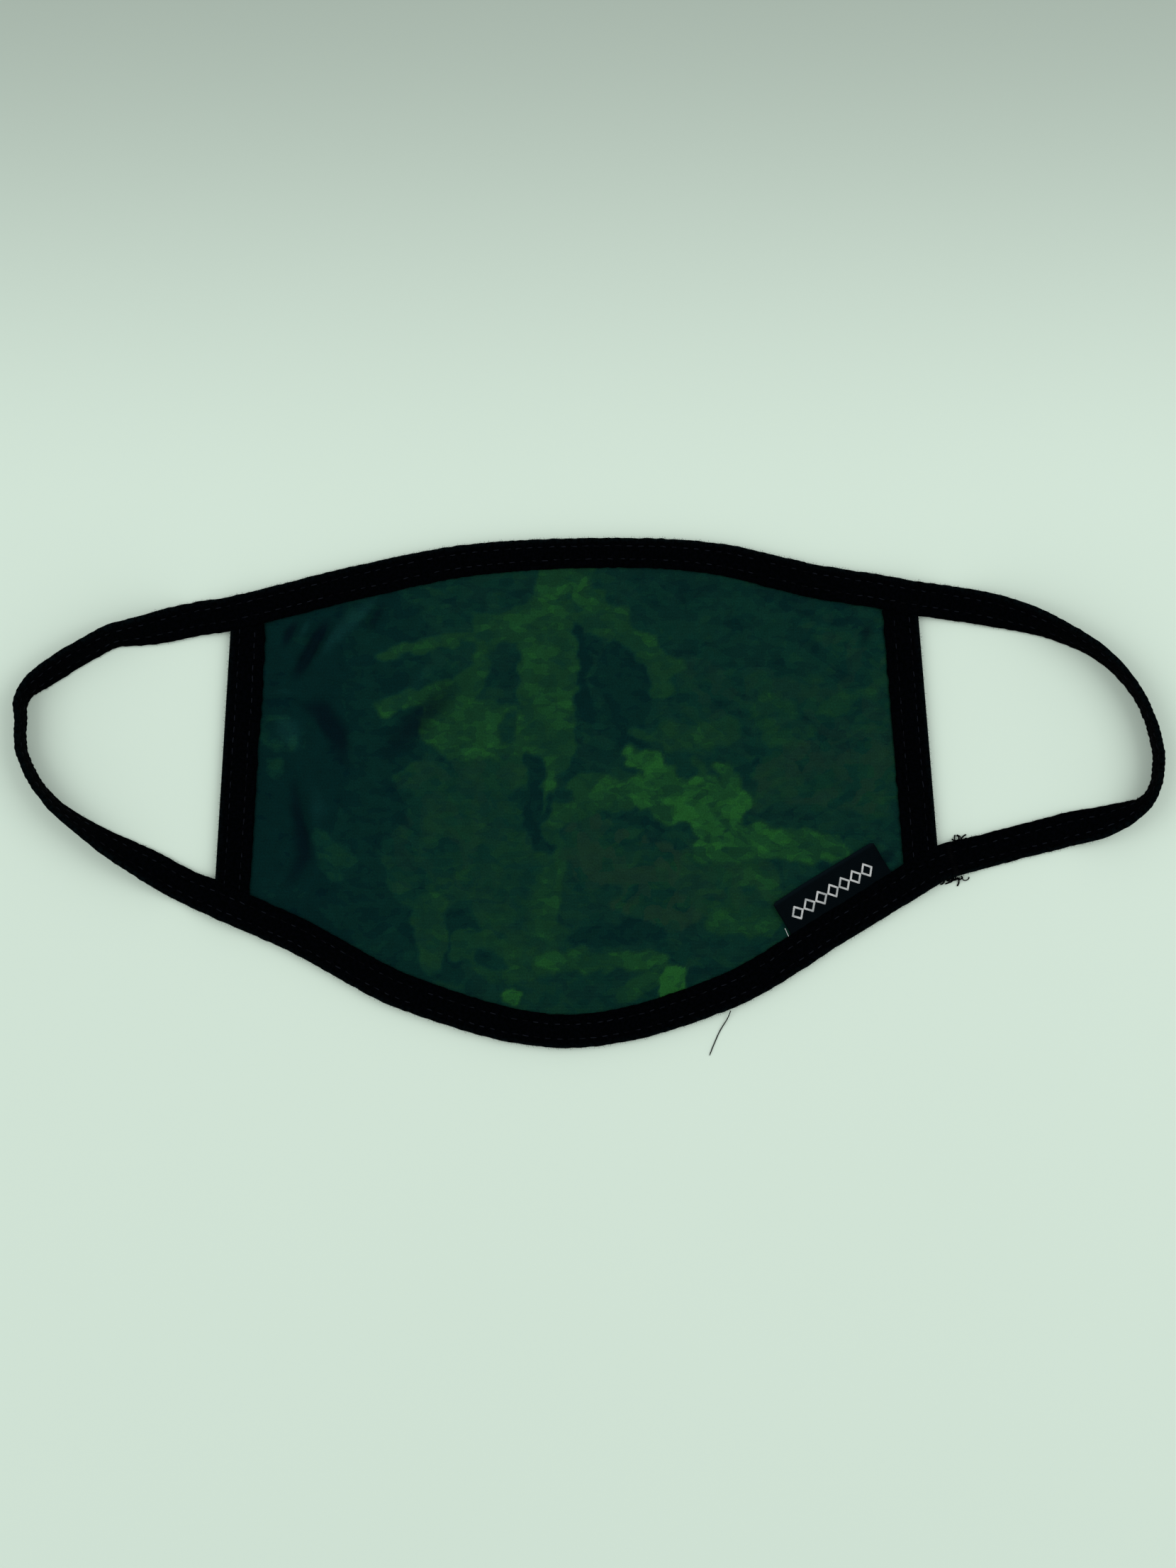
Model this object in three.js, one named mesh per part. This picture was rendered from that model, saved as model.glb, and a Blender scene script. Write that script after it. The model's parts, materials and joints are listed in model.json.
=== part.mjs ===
import * as THREE from "three";

// A knitted cloth face mask lying flat, printed face up.
// Millimetres. X runs across the face, Y from chin to nose, Z up from the surface it lies on.
//
// Two leaves of cloth are bound round their edges with black folded tape. The side edges have
// tapes of their own. One long tape binds the top edge, leaves as an ear loop, binds the bottom
// edge and makes the other ear loop. Tape and cloth are cut only where the mask folds.

// ---- Driving dimensions ----

const TAPE_THICKNESS = 1.4; // the folded tape alone, as it is along the ear loops
const LEAF = 0.7; // one folded leaf of tape over the cloth
const BINDING_THICKNESS = 2.6; // tape closed over both leaves of cloth
const FOLD_BACK = 1.4; // solid tape behind the slot that the cloth edge sits in
const TAPE_WIDTH = 9.0; // along the ear loops
const SIDE_WIDTH = 9.4; // the two side bindings
const EDGE_CHAMFER = 0.5; // stands for the rounded fold of the tape

const LINING_BOTTOM = 0.75;
const LINING_TOP = 1.2;
const OUTER_BOTTOM = 1.27;
const OUTER_TOP = 1.85;
const CROWN = 3.0; // how far the cloth stands up in the middle
const LINING_CROWN = 0.93; // the lining's share of that
const CROWN_REACH = 42; // distance from the bindings over which the cloth rises
const CROWN_MARGIN = 1.4; // level cloth inside the bindings' inner edges
const CROWN_FULLNESS = 0.8; // below 1 the cloth rises sooner from the bindings
const CLOTH_INSET = 1.8; // cloth edge to the outer edge of the top and bottom bindings
const CLOTH_SIDE_INSET = 2.4; // and of the side bindings

const FOLD_GAP = 0.1; // each side of a fold line
const FOLD_RUN = 6; // a binding runs straight this far from a loop's fold line
const FOLD_AXIS_Z = 2.7; // the loops turn about a line just above the bindings
const SIDE_END_GAP = { outer: 1.6, inner: 0.3 }; // side binding to top or bottom binding
const LEFT_FOLD = { top: [-94.5, 42.5], bottom: [-98.5, -22.5] };
const RIGHT_FOLD = { top: [87, 46], bottom: [92, -14] };

const STITCH_ROWS = [0.28, 0.71]; // twin needle rows, as shares of the tape's width
const THREAD_WIDTH = 0.4;
const THREAD_HEIGHT = 0.25;
const THREAD_GAP = 0.06;
// How far a thread stops short of an ear loop's fold, the centre fold, a side binding's end and
// the ear loop's end that carries the lap.
const THREAD_STOP = { fold: 3, centre: 0.3, side: 0.4, lap: 7 };

const LAP = 8; // the perimeter tape's two ends lie on each other at the right loop's lower end
const BARTACK = { fromFold: 3.4, halfWidth: 0.9, halfLength: 4.1, height: 0.35 };

// How finely each piece is divided.
const EDGE_STEPS = 15;
const SIDE_STEPS = 8;
const LOOP_STEPS = 44;
const CLOTH_COLUMNS = 14;
const CLOTH_ROWS = 11;
const LABEL_STEPS = { along: 8, up: 4 };
const THREAD_END_STEPS = 10;

// The label's sewn edge runs between two x values along the bottom binding's inner edge.
const LABEL = { from: 58.5, to: 84.5, depth: 9.2, thickness: 0.6, seamGap: 0.3, lift: 0.15 };

// Outer edge of the top binding from left to right: x, y, width of the binding.
const TOP_EDGE = [
  [-94, 51.5, 9],
  [-60, 60, 9],
  [-30, 65.5, 8.5],
  [10, 67, 8],
  [35, 65.5, 8.5],
  [60, 60, 9],
  [86, 56, 9],
];

// Outer edge of the bottom binding from left to right, in the same way.
const BOTTOM_EDGE = [
  [-99, -33.5, 9.5],
  [-80, -41.5, 9.5],
  [-48, -58, 9.5],
  [-5, -67.5, 9],
  [38, -57, 9.5],
  [70, -38, 9.5],
  [93, -24, 9.5],
];

// Centre line of each ear loop from the top corner round to the bottom corner: x, y, and how
// far the tape is rolled up on its edge, in degrees, outer edge up.
const LEFT_LOOP = [
  [-104, 45.5, 0],
  [-117, 42.5, 38],
  [-125, 41, 55],
  [-130, 38.5, 58],
  [-143.5, 30, 62],
  [-148.5, 25, 82],
  [-149, 18, 90],
  [-148.5, 10, 90],
  [-142, -1.5, 85],
  [-130, -11, 65],
  [-120, -17, 40],
  [-105, -25.5, 0],
];
const RIGHT_LOOP = [
  [94, 50, 0],
  [108, 47.5, 28],
  [122, 43, 60],
  [136, 35, 80],
  [145.5, 23, 90],
  [149.5, 8, 90],
  [147, -1.5, 85],
  [137.5, -7, 40],
  [124, -10.5, 0],
  [103, -16, 0],
];

// Short loose ends of sewing thread, each through a few points.
const THREAD_END_WIDTH = 0.3;
const THREAD_ENDS = {
  loose_thread: [
    [37.4, -57.7, 1.3],
    [36.6, -59.8, 0.6],
    [34.6, -63.2, 0.25],
    [33.0, -66.8, 0.2],
    [31.9, -69.6, 0.2],
  ],
  tack_thread_upper: [
    [95.0, -13.2, 1.6],
    [95.5, -12.0, 1.1],
    [97.2, -11.2, 0.6],
    [99.4, -11.5, 0.25],
  ],
  tack_thread_lower: [
    [96.6, -23.4, 1.6],
    [96.3, -24.6, 1.0],
    [97.6, -25.9, 0.4],
    [99.8, -25.2, 0.25],
  ],
  label_thread: [
    [50.8, -34.9, 2.75],
    [51.3, -35.9, 2.7],
    [51.8, -36.8, 2.6],
  ],
};

// ---- Plane geometry ----

const vec = (p) => new THREE.Vector2(p[0], p[1]);
const mix = (a, b, t) => a + (b - a) * t;

function smoothstep(t) {
  const c = Math.min(1, Math.max(0, t));
  return c * c * (3 - 2 * c);
}

// Smooth value of one column of an edge table at x (cubic through the rows).
function edgeValue(table, x, column) {
  const last = table.length - 1;
  let i = 0;
  while (i < last - 1 && x > table[i + 1][0]) i += 1;
  const slope = (k) => {
    const a = table[Math.max(0, k - 1)];
    const b = table[Math.min(last, k + 1)];
    return (b[column] - a[column]) / (b[0] - a[0]);
  };
  const span = table[i + 1][0] - table[i][0];
  const t = (x - table[i][0]) / span;
  const h00 = (1 + 2 * t) * (1 - t) * (1 - t);
  const h10 = t * (1 - t) * (1 - t);
  const h01 = t * t * (3 - 2 * t);
  const h11 = t * t * (t - 1);
  return (
    h00 * table[i][column] +
    h10 * span * slope(i) +
    h01 * table[i + 1][column] +
    h11 * span * slope(i + 1)
  );
}

// Unit normal of an edge at x, pointing into the mask. side is 1 for the top edge, -1 for the bottom.
function inwardNormal(table, x, side) {
  const step = 0.5;
  const rise = edgeValue(table, x + step, 1) - edgeValue(table, x - step, 1);
  return new THREE.Vector2(rise, -2 * step).normalize().multiplyScalar(side);
}

// Point at a distance inside an edge.
function insideEdge(table, x, side, distance) {
  const point = new THREE.Vector2(x, edgeValue(table, x, 1));
  return point.addScaledVector(inwardNormal(table, x, side), distance);
}

// x on a fold line at height y.
function foldX(fold, y) {
  const [a, b] = [vec(fold.bottom), vec(fold.top)];
  return a.x + ((b.x - a.x) * (y - a.y)) / (b.y - a.y);
}

// Unit normal of a fold line, pointing away from the mask.
function foldNormal(fold) {
  const along = vec(fold.top).sub(vec(fold.bottom)).normalize();
  const normal = new THREE.Vector2(along.y, -along.x);
  return fold.top[0] < 0 ? normal.negate() : normal;
}

// Height of the cloth above its flat level: it rises from the bindings towards the middle.
function crownAt(x, y) {
  const rise = (d) => Math.sin((Math.PI / 2) * Math.min(1, Math.max(0, d / CROWN_REACH)));
  const top = insideEdge(TOP_EDGE, x, 1, edgeValue(TOP_EDGE, x, 2) + CROWN_MARGIN).y - y;
  const bottomEdge = edgeValue(BOTTOM_EDGE, x, 2) + CROWN_MARGIN;
  const bottom = y - insideEdge(BOTTOM_EDGE, x, -1, bottomEdge).y;
  const fold = x < 0 ? LEFT_FOLD : RIGHT_FOLD;
  const side = Math.abs(foldX(fold, y) - x) - SIDE_WIDTH - CROWN_MARGIN;
  return CROWN * Math.pow(rise(top) * rise(bottom) * rise(side), CROWN_FULLNESS);
}

// ---- Solids ----

function geometryFrom(points, triangles) {
  let volume = 0;
  for (const [a, b, c] of triangles) {
    volume += points[a].dot(new THREE.Vector3().crossVectors(points[b], points[c]));
  }
  const index = triangles.flatMap(([a, b, c]) => (volume < 0 ? [a, c, b] : [a, b, c]));
  const geometry = new THREE.BufferGeometry().setFromPoints(points);
  geometry.setIndex(index);
  geometry.computeVertexNormals();
  return geometry;
}

// A closed solid through rings of points; the section is the outline used to fill both ends.
function sweep(rings, section) {
  const size = section.length;
  const triangles = [];
  for (let r = 0; r + 1 < rings.length; r += 1) {
    for (let k = 0; k < size; k += 1) {
      const a = r * size + k;
      const b = r * size + ((k + 1) % size);
      triangles.push([a, b, b + size], [a, b + size, a + size]);
    }
  }
  const end = (rings.length - 1) * size;
  const outline = section.map(vec);
  for (const [a, b, c] of THREE.ShapeUtils.triangulateShape(outline, [])) {
    triangles.push([a, c, b], [end + a, end + b, end + c]);
  }
  return geometryFrom(rings.flat(), triangles);
}

// A closed solid between an upper and a lower grid of points.
function slab(upper, lower) {
  const rows = upper.length;
  const columns = upper[0].length;
  const half = rows * columns;
  const triangles = [];
  const quad = (a, b, c, d) => triangles.push([a, b, c], [a, c, d]);
  for (let r = 0; r + 1 < rows; r += 1) {
    for (let c = 0; c + 1 < columns; c += 1) {
      const a = r * columns + c;
      quad(a, a + 1, a + columns + 1, a + columns);
      const b = half + a;
      triangles.push([b, b + columns + 1, b + 1], [b, b + columns, b + columns + 1]);
    }
  }
  const rim = [];
  for (let c = 0; c + 1 < columns; c += 1) rim.push(c);
  for (let r = 0; r + 1 < rows; r += 1) rim.push(r * columns + columns - 1);
  for (let c = columns - 1; c > 0; c -= 1) rim.push((rows - 1) * columns + c);
  for (let r = rows - 1; r > 0; r -= 1) rim.push(r * columns);
  rim.forEach((a, i) => {
    const b = rim[(i + 1) % rim.length];
    quad(b, a, a + half, b + half);
  });
  return geometryFrom([...upper.flat(), ...lower.flat()], triangles);
}

// ---- Bindings: tape folded round the cloth, open on its inner side ----

const bindingSection = (width) => [
  [EDGE_CHAMFER, 0],
  [width, 0],
  [width, LEAF],
  [FOLD_BACK, LEAF],
  [FOLD_BACK, BINDING_THICKNESS - LEAF],
  [width, BINDING_THICKNESS - LEAF],
  [width, BINDING_THICKNESS],
  [EDGE_CHAMFER, BINDING_THICKNESS],
  [0, BINDING_THICKNESS - EDGE_CHAMFER],
  [0, EDGE_CHAMFER],
];

// One ring of a binding. A station holds the outer and inner edge points, the width, and, at an
// ear loop's fold, how far the ring leans back under the fold line so the loop can turn down.
function stationRing(station, section) {
  const across = station.inner.clone().sub(station.outer).divideScalar(station.width);
  return section.map(([u, z]) => {
    const p = station.outer.clone().addScaledVector(across, u);
    if (station.lean) p.addScaledVector(station.lean, FOLD_AXIS_Z - z);
    return new THREE.Vector3(p.x, p.y, z);
  });
}

// The station where an edge's binding meets an ear loop's fold line. lean runs along the tape.
function foldStation(table, side, fold) {
  const atLeft = fold.top[0] < 0;
  const row = atLeft ? table[0] : table[table.length - 1];
  const outer = new THREE.Vector2(foldX(fold, row[1]), row[1]);
  const inner = vec(side > 0 ? fold.top : fold.bottom);
  const away = foldNormal(fold);
  const normal = inwardNormal(table, row[0] + (atLeft ? 2 : -2), 1);
  const lean = new THREE.Vector2(normal.y, -normal.x);
  lean.divideScalar(-lean.dot(away));
  outer.addScaledVector(lean, FOLD_GAP);
  inner.addScaledVector(lean, FOLD_GAP);
  return { outer, inner, width: row[2], lean };
}

function edgeStation(table, side, x) {
  const width = edgeValue(table, x, 2);
  const outer = new THREE.Vector2(x, edgeValue(table, x, 1));
  return { outer, inner: insideEdge(table, x, side, width), width };
}

// The station at the centre fold, square to the fold line.
function centreStation(table, side, x) {
  const width = edgeValue(table, x, 2);
  const outer = new THREE.Vector2(x, edgeValue(table, x, 1));
  return { outer, inner: new THREE.Vector2(x, outer.y - side * width), width };
}

function edgeStations(table, side, hand) {
  const fold = hand < 0 ? LEFT_FOLD : RIGHT_FOLD;
  const first = foldStation(table, side, fold);
  const stations = [first];
  const start = first.outer.x - hand * FOLD_RUN;
  for (let i = 0; i < EDGE_STEPS; i += 1) {
    stations.push(edgeStation(table, side, mix(start, 0, i / EDGE_STEPS)));
  }
  stations.push(centreStation(table, side, hand * FOLD_GAP));
  return stations;
}

// A side binding runs between the inner edges of the top and bottom bindings.
function sideStations(hand, top, bottom) {
  const fold = hand < 0 ? LEFT_FOLD : RIGHT_FOLD;
  const away = foldNormal(fold);
  const along = vec(fold.top).sub(vec(fold.bottom)).normalize();
  // Where the inner side of this tape meets the inner side of the top or bottom binding.
  const meet = (stations) => {
    const past = (p) => Math.abs(foldX(fold, p.y) - p.x) - SIDE_WIDTH;
    const i = stations.findIndex((s) => past(s.inner) > 0);
    const [a, b] = [stations[i - 1].inner, stations[i].inner];
    return a.clone().lerp(b, past(a) / (past(a) - past(b)));
  };
  const ends = [
    { outer: vec(fold.top), inner: meet(top), pull: -1 },
    { outer: vec(fold.bottom), inner: meet(bottom), pull: 1 },
  ];
  for (const end of ends) {
    end.outer.addScaledVector(along, end.pull * SIDE_END_GAP.outer);
    end.outer.addScaledVector(away, -FOLD_GAP);
    end.inner.addScaledVector(along, end.pull * SIDE_END_GAP.inner);
  }
  const stations = [];
  for (let i = 0; i <= SIDE_STEPS; i += 1) {
    const outer = ends[0].outer.clone().lerp(ends[1].outer, i / SIDE_STEPS);
    const inner = ends[0].inner.clone().lerp(ends[1].inner, i / SIDE_STEPS);
    stations.push({ outer, inner, width: SIDE_WIDTH });
  }
  return stations;
}

function bindingGeometry(stations) {
  const rings = stations.map((s) => stationRing(s, bindingSection(s.width)));
  return sweep(rings, bindingSection(stations[0].width));
}

// A needle thread along a binding, from one station to another.
function bindingThread(stations, share) {
  const bottom = BINDING_THICKNESS + THREAD_GAP;
  const top = bottom + THREAD_HEIGHT;
  const section = (width) => {
    const u = share * width;
    const half = THREAD_WIDTH / 2;
    return [
      [u - half, bottom],
      [u + half, bottom],
      [u + half, top],
      [u - half, top],
    ];
  };
  const rings = stations.map((s) => stationRing({ ...s, lean: null }, section(s.width)));
  return sweep(rings, section(stations[0].width));
}

// Moves the first and last stations inwards along the run, so a thread stops short of a fold.
function shortened(stations, startBy, endBy) {
  const toward = (a, b, distance) => {
    const share = distance / a.outer.distanceTo(b.outer);
    return {
      outer: a.outer.clone().lerp(b.outer, share),
      inner: a.inner.clone().lerp(b.inner, share),
      width: mix(a.width, b.width, share),
    };
  };
  const last = stations.length - 1;
  const run = [...stations];
  run[0] = toward(stations[0], stations[1], startBy);
  run[last] = toward(stations[last], stations[last - 1], endBy);
  return run;
}

// ---- Ear loops: bare tape that lies flat at the mask and rolls up on its edge further out ----

const ROLL_SCALE = 0.2; // a degree of roll counts as this many millimetres of curve
const THICKNESS_RUN = 10; // over which a loop thins from the binding to the bare tape
const LAP_STEP = 4; // and over which it thins at the end of the lap
const WIDTH_RUN = 12; // over which a loop's width passes into the binding's

const tapeSection = (width, thickness) => {
  const [w, t, c] = [width / 2, thickness / 2, EDGE_CHAMFER * 0.8];
  const rows = STITCH_ROWS.map((share) => w - share * width);
  return [
    [-w, c - t],
    [c - w, -t],
    [w - c, -t],
    [w, c - t],
    [w, t - c],
    [w - c, t],
    [rows[0], t],
    [rows[1], t],
    [c - w, t],
    [-w, t - c],
  ];
};

// A loop's stations from the top fold to the bottom fold. Thickness falls from the binding's to
// the bare tape's; lapEnd keeps the full thickness where the tape's two ends lie on each other.
function loopStations(table, fold, lapEnd) {
  const away = foldNormal(fold);
  const ends = [foldStation(TOP_EDGE, 1, fold), foldStation(BOTTOM_EDGE, -1, fold)];
  const centres = ends.map((e) => {
    const c = e.outer.clone().add(e.inner).multiplyScalar(0.5);
    return c.addScaledVector(e.lean, -2 * FOLD_GAP);
  });
  const knots = [
    [centres[0].x, centres[0].y, 0],
    ...table,
    [centres[1].x, centres[1].y, 0],
  ];
  const curve = new THREE.CatmullRomCurve3(
    knots.map(([x, y, roll]) => new THREE.Vector3(x, y, roll * ROLL_SCALE)),
    false,
    "centripetal",
  );
  const stations = [];
  const hand = away.x < 0 ? -1 : 1;
  for (let i = 0; i <= LOOP_STEPS; i += 1) {
    const p = curve.getPointAt(i / LOOP_STEPS);
    const t = curve.getTangentAt(i / LOOP_STEPS);
    const outward = new THREE.Vector2(-t.y, t.x).normalize().multiplyScalar(hand);
    const roll = THREE.MathUtils.degToRad(Math.min(90, Math.max(0, p.z / ROLL_SCALE)));
    stations.push({ at: new THREE.Vector2(p.x, p.y), outward, roll, width: TAPE_WIDTH });
  }
  let run = 0;
  stations.forEach((s, i) => {
    if (i > 0) run += s.at.distanceTo(stations[i - 1].at);
    s.run = run;
  });
  for (const s of stations) {
    const fromTop = smoothstep(s.run / THICKNESS_RUN);
    const fromLap = run - s.run - lapEnd;
    const fromBottom = smoothstep(fromLap / (lapEnd ? LAP_STEP : THICKNESS_RUN));
    s.thickness = mix(BINDING_THICKNESS, TAPE_THICKNESS, Math.min(fromTop, fromBottom));
    const edge = s.run < run / 2 ? ends[0] : ends[1];
    const blend = smoothstep(Math.min(s.run, run - s.run) / WIDTH_RUN);
    s.width = mix(edge.width, TAPE_WIDTH, blend);
  }
  // The end rings lie on the fold line and lean out under it, like the bindings' ends.
  [stations[0], stations[LOOP_STEPS]].forEach((s, i) => {
    const across = ends[i].outer.clone().sub(ends[i].inner);
    s.stretch = across.length() / s.width;
    s.outward = across.normalize();
    s.lean = away;
  });
  return stations;
}

// One ring of a loop: the lowest corner of the section always rests on the ground.
function loopRing(station, section, ground) {
  const [sin, cos] = [Math.sin(station.roll), Math.cos(station.roll)];
  const lift = -Math.min(...ground.map(([a, b]) => a * sin + b * cos));
  return section.map(([a, b]) => {
    const out = (station.stretch ?? 1) * a * cos - b * sin;
    const z = lift + a * sin + b * cos;
    const p = station.at.clone().addScaledVector(station.outward, out);
    if (station.lean) p.addScaledVector(station.lean, FOLD_AXIS_Z - z);
    return new THREE.Vector3(p.x, p.y, z);
  });
}

function loopGeometry(stations) {
  const rings = stations.map((s) => {
    const section = tapeSection(s.width, s.thickness);
    return loopRing(s, section, section);
  });
  return sweep(rings, tapeSection(stations[0].width, stations[0].thickness));
}

// A needle thread along a loop's upper face, kept clear of both folds.
function loopThread(stations, share, startAt, endBefore) {
  const length = stations[stations.length - 1].run;
  const kept = stations.filter((s) => s.run >= startAt && s.run <= length - endBefore);
  const section = (s) => {
    const a = s.width / 2 - share * s.width;
    const b = s.thickness / 2 + THREAD_GAP * 2;
    const half = THREAD_WIDTH / 2;
    return [
      [a - half, b],
      [a + half, b],
      [a + half, b + THREAD_HEIGHT],
      [a - half, b + THREAD_HEIGHT],
    ];
  };
  const rings = kept.map((s) => loopRing(s, section(s), tapeSection(s.width, s.thickness)));
  return sweep(rings, section(kept[0]));
}

// ---- Cloth ----

// Columns of the left or right half of a leaf of cloth, from the side binding to the centre fold.
function clothGrid(hand, level, crownShare) {
  const fold = hand < 0 ? LEFT_FOLD : RIGHT_FOLD;
  const sideX = (table) => foldX(fold, hand < 0 ? table[0][1] : table[table.length - 1][1]);
  const columnX = (table, column) => {
    const edge = sideX(table) - hand * CLOTH_SIDE_INSET;
    const shoulder = sideX(table) - hand * (SIDE_WIDTH + CROWN_MARGIN);
    if (column === 0) return edge;
    return mix(shoulder, hand * FOLD_GAP, (column - 1) / (CLOTH_COLUMNS - 2));
  };
  const grid = [];
  for (let c = 0; c < CLOTH_COLUMNS; c += 1) {
    const xTop = columnX(TOP_EDGE, c);
    const xBottom = columnX(BOTTOM_EDGE, c);
    const from = new THREE.Vector2(xBottom, edgeValue(BOTTOM_EDGE, xBottom, 1));
    const to = new THREE.Vector2(xTop, edgeValue(TOP_EDGE, xTop, 1));
    const length = from.distanceTo(to);
    const steepTop = Math.abs(inwardNormal(TOP_EDGE, xTop, 1).y);
    const steepBottom = Math.abs(inwardNormal(BOTTOM_EDGE, xBottom, -1).y);
    const below = (d) => to.clone().lerp(from, d / steepTop / length);
    const above = (d) => from.clone().lerp(to, d / steepBottom / length);
    const topInner = below(edgeValue(TOP_EDGE, xTop, 2) + CROWN_MARGIN);
    const bottomInner = above(edgeValue(BOTTOM_EDGE, xBottom, 2) + CROWN_MARGIN);
    const top = below(CLOTH_INSET);
    const bottom = above(CLOTH_INSET);
    const column = [bottom];
    for (let i = 0; i <= CLOTH_ROWS; i += 1) {
      column.push(bottomInner.clone().lerp(topInner, i / CLOTH_ROWS));
    }
    column.push(top);
    grid.push(
      column.map((p, i) => {
        const flat = c < 2 || i < 2 || i > CLOTH_ROWS;
        const rise = flat ? 0 : crownShare * crownAt(p.x, p.y);
        return new THREE.Vector3(p.x, p.y, level + rise);
      }),
    );
  }
  return grid;
}

// ---- Label, bartack and thread ends ----

// The label lies on the cloth: its sewn edge is at the bottom binding, its free edge up the cloth.
function labelGeometry() {
  const seam = (x) => {
    const distance = edgeValue(BOTTOM_EDGE, x, 2) + LABEL.seamGap;
    return insideEdge(BOTTOM_EDGE, x, -1, distance);
  };
  const along = seam(LABEL.to).sub(seam(LABEL.from)).normalize();
  const up = new THREE.Vector2(-along.y, along.x);
  const upper = [];
  const lower = [];
  for (let q = 0; q <= LABEL_STEPS.along; q += 1) {
    const base = seam(mix(LABEL.from, LABEL.to, q / LABEL_STEPS.along));
    const rowUpper = [];
    const rowLower = [];
    for (let p = 0; p <= LABEL_STEPS.up; p += 1) {
      const at = base.clone().addScaledVector(up, (p / LABEL_STEPS.up) * LABEL.depth);
      const z = OUTER_TOP + crownAt(at.x, at.y) + LABEL.lift;
      rowLower.push(new THREE.Vector3(at.x, at.y, z));
      rowUpper.push(new THREE.Vector3(at.x, at.y, z + LABEL.thickness));
    }
    upper.push(rowUpper);
    lower.push(rowLower);
  }
  return slab(upper, lower);
}

// A short free thread through a few points, square in section.
function threadEnd(points, width) {
  const curve = new THREE.CatmullRomCurve3(points.map((p) => new THREE.Vector3(...p)));
  const up = new THREE.Vector3(0, 0, 1);
  const half = width / 2;
  const section = [
    [-half, -half],
    [half, -half],
    [half, half],
    [-half, half],
  ];
  const rings = [];
  for (let i = 0; i <= THREAD_END_STEPS; i += 1) {
    const at = curve.getPointAt(i / THREAD_END_STEPS);
    const t = curve.getTangentAt(i / THREAD_END_STEPS);
    const side = new THREE.Vector3().crossVectors(up, t).normalize();
    const rise = new THREE.Vector3().crossVectors(t, side);
    rings.push(
      section.map(([a, b]) => at.clone().addScaledVector(side, a).addScaledVector(rise, b)),
    );
  }
  return sweep(rings, section);
}

// A bar of dense stitching across the tape where its two ends lie on each other.
function bartackGeometry(stations) {
  const end = stations[stations.length - 1].run;
  const tack = stations.filter((s) => s.run <= end - BARTACK.fromFold).pop();
  const out = new THREE.Vector2().copy(tack.outward);
  const along = new THREE.Vector2(out.y, -out.x);
  const grid = (z) =>
    [-1, 1].map((i) =>
      [-1, 1].map((k) => {
        const p = tack.at.clone().addScaledVector(along, i * BARTACK.halfWidth);
        p.addScaledVector(out, k * BARTACK.halfLength);
        return new THREE.Vector3(p.x, p.y, z);
      }),
    );
  const bottom = BINDING_THICKNESS + THREAD_GAP;
  return slab(grid(bottom + BARTACK.height), grid(bottom));
}

// ---- Assembly ----

const group = new THREE.Group();
group.name = "face_mask";

const COLOURS = {
  camo: 0x1d3a26,
  lining: 0x1c1d20,
  tape: 0x0b0c10,
  thread: 0x4a525c,
  label: 0x0c1620,
  pale: 0xd8dcdc,
};

function add(name, geometry, colour, roughness) {
  const material = new THREE.MeshStandardMaterial({ color: colour, roughness, metalness: 0 });
  const mesh = new THREE.Mesh(geometry, material);
  mesh.name = name;
  group.add(mesh);
}

for (const [hand, name] of [
  [-1, "left"],
  [1, "right"],
]) {
  const outerTop = clothGrid(hand, OUTER_TOP, 1);
  const outerBottom = clothGrid(hand, OUTER_BOTTOM, 1);
  add(`outer_panel_${name}`, slab(outerTop, outerBottom), COLOURS.camo, 0.85);
  const liningTop = clothGrid(hand, LINING_TOP, LINING_CROWN);
  const liningBottom = clothGrid(hand, LINING_BOTTOM, LINING_CROWN);
  add(`lining_${name}`, slab(liningTop, liningBottom), COLOURS.lining, 0.9);

  const top = edgeStations(TOP_EDGE, 1, hand);
  const bottom = edgeStations(BOTTOM_EDGE, -1, hand);
  const side = sideStations(hand, top, bottom);
  add(`top_binding_${name}`, bindingGeometry(top), COLOURS.tape, 0.9);
  add(`bottom_binding_${name}`, bindingGeometry(bottom), COLOURS.tape, 0.9);
  add(`side_binding_${name}`, bindingGeometry(side), COLOURS.tape, 0.9);

  const fold = hand < 0 ? LEFT_FOLD : RIGHT_FOLD;
  const lapEnd = hand > 0 ? LAP : 0;
  const loop = loopStations(hand < 0 ? LEFT_LOOP : RIGHT_LOOP, fold, lapEnd);
  add(`ear_loop_${name}`, loopGeometry(loop), COLOURS.tape, 0.9);

  STITCH_ROWS.forEach((share, i) => {
    const row = ["outer", "inner"][i];
    const thread = (place, geometry) =>
      add(`${place}_thread_${row}_${name}`, geometry, COLOURS.thread, 0.6);
    const stop = THREAD_STOP;
    thread("top", bindingThread(shortened(top, stop.fold, stop.centre), share));
    thread("bottom", bindingThread(shortened(bottom, stop.fold, stop.centre), share));
    thread("side", bindingThread(shortened(side, stop.side, stop.side), share));
    thread("loop", loopThread(loop, share, stop.fold, lapEnd ? stop.lap : stop.fold));
  });

  if (lapEnd) add("loop_bartack", bartackGeometry(loop), COLOURS.thread, 0.6);
}

add("side_label", labelGeometry(), COLOURS.label, 0.7);
for (const [name, points] of Object.entries(THREAD_ENDS)) {
  const colour = name === "label_thread" ? COLOURS.pale : COLOURS.thread;
  add(name, threadEnd(points, THREAD_END_WIDTH), colour, 0.6);
}

group.updateMatrixWorld(true);
const box = new THREE.Box3().setFromObject(group, true);
const centre = box.getCenter(new THREE.Vector3());
group.position.set(-centre.x, -centre.y, -box.min.z);

export default group;
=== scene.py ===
"""A knitted camo face mask lying flat: cloth, lining, folded tape, stitching, label, thread ends.

Shapes are written in the CAD's drawing millimetres, and to_frame moves them to the frame.
"""

import json
import math
import random

import bmesh
import bpy
import numpy as np
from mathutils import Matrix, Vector, noise


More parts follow.
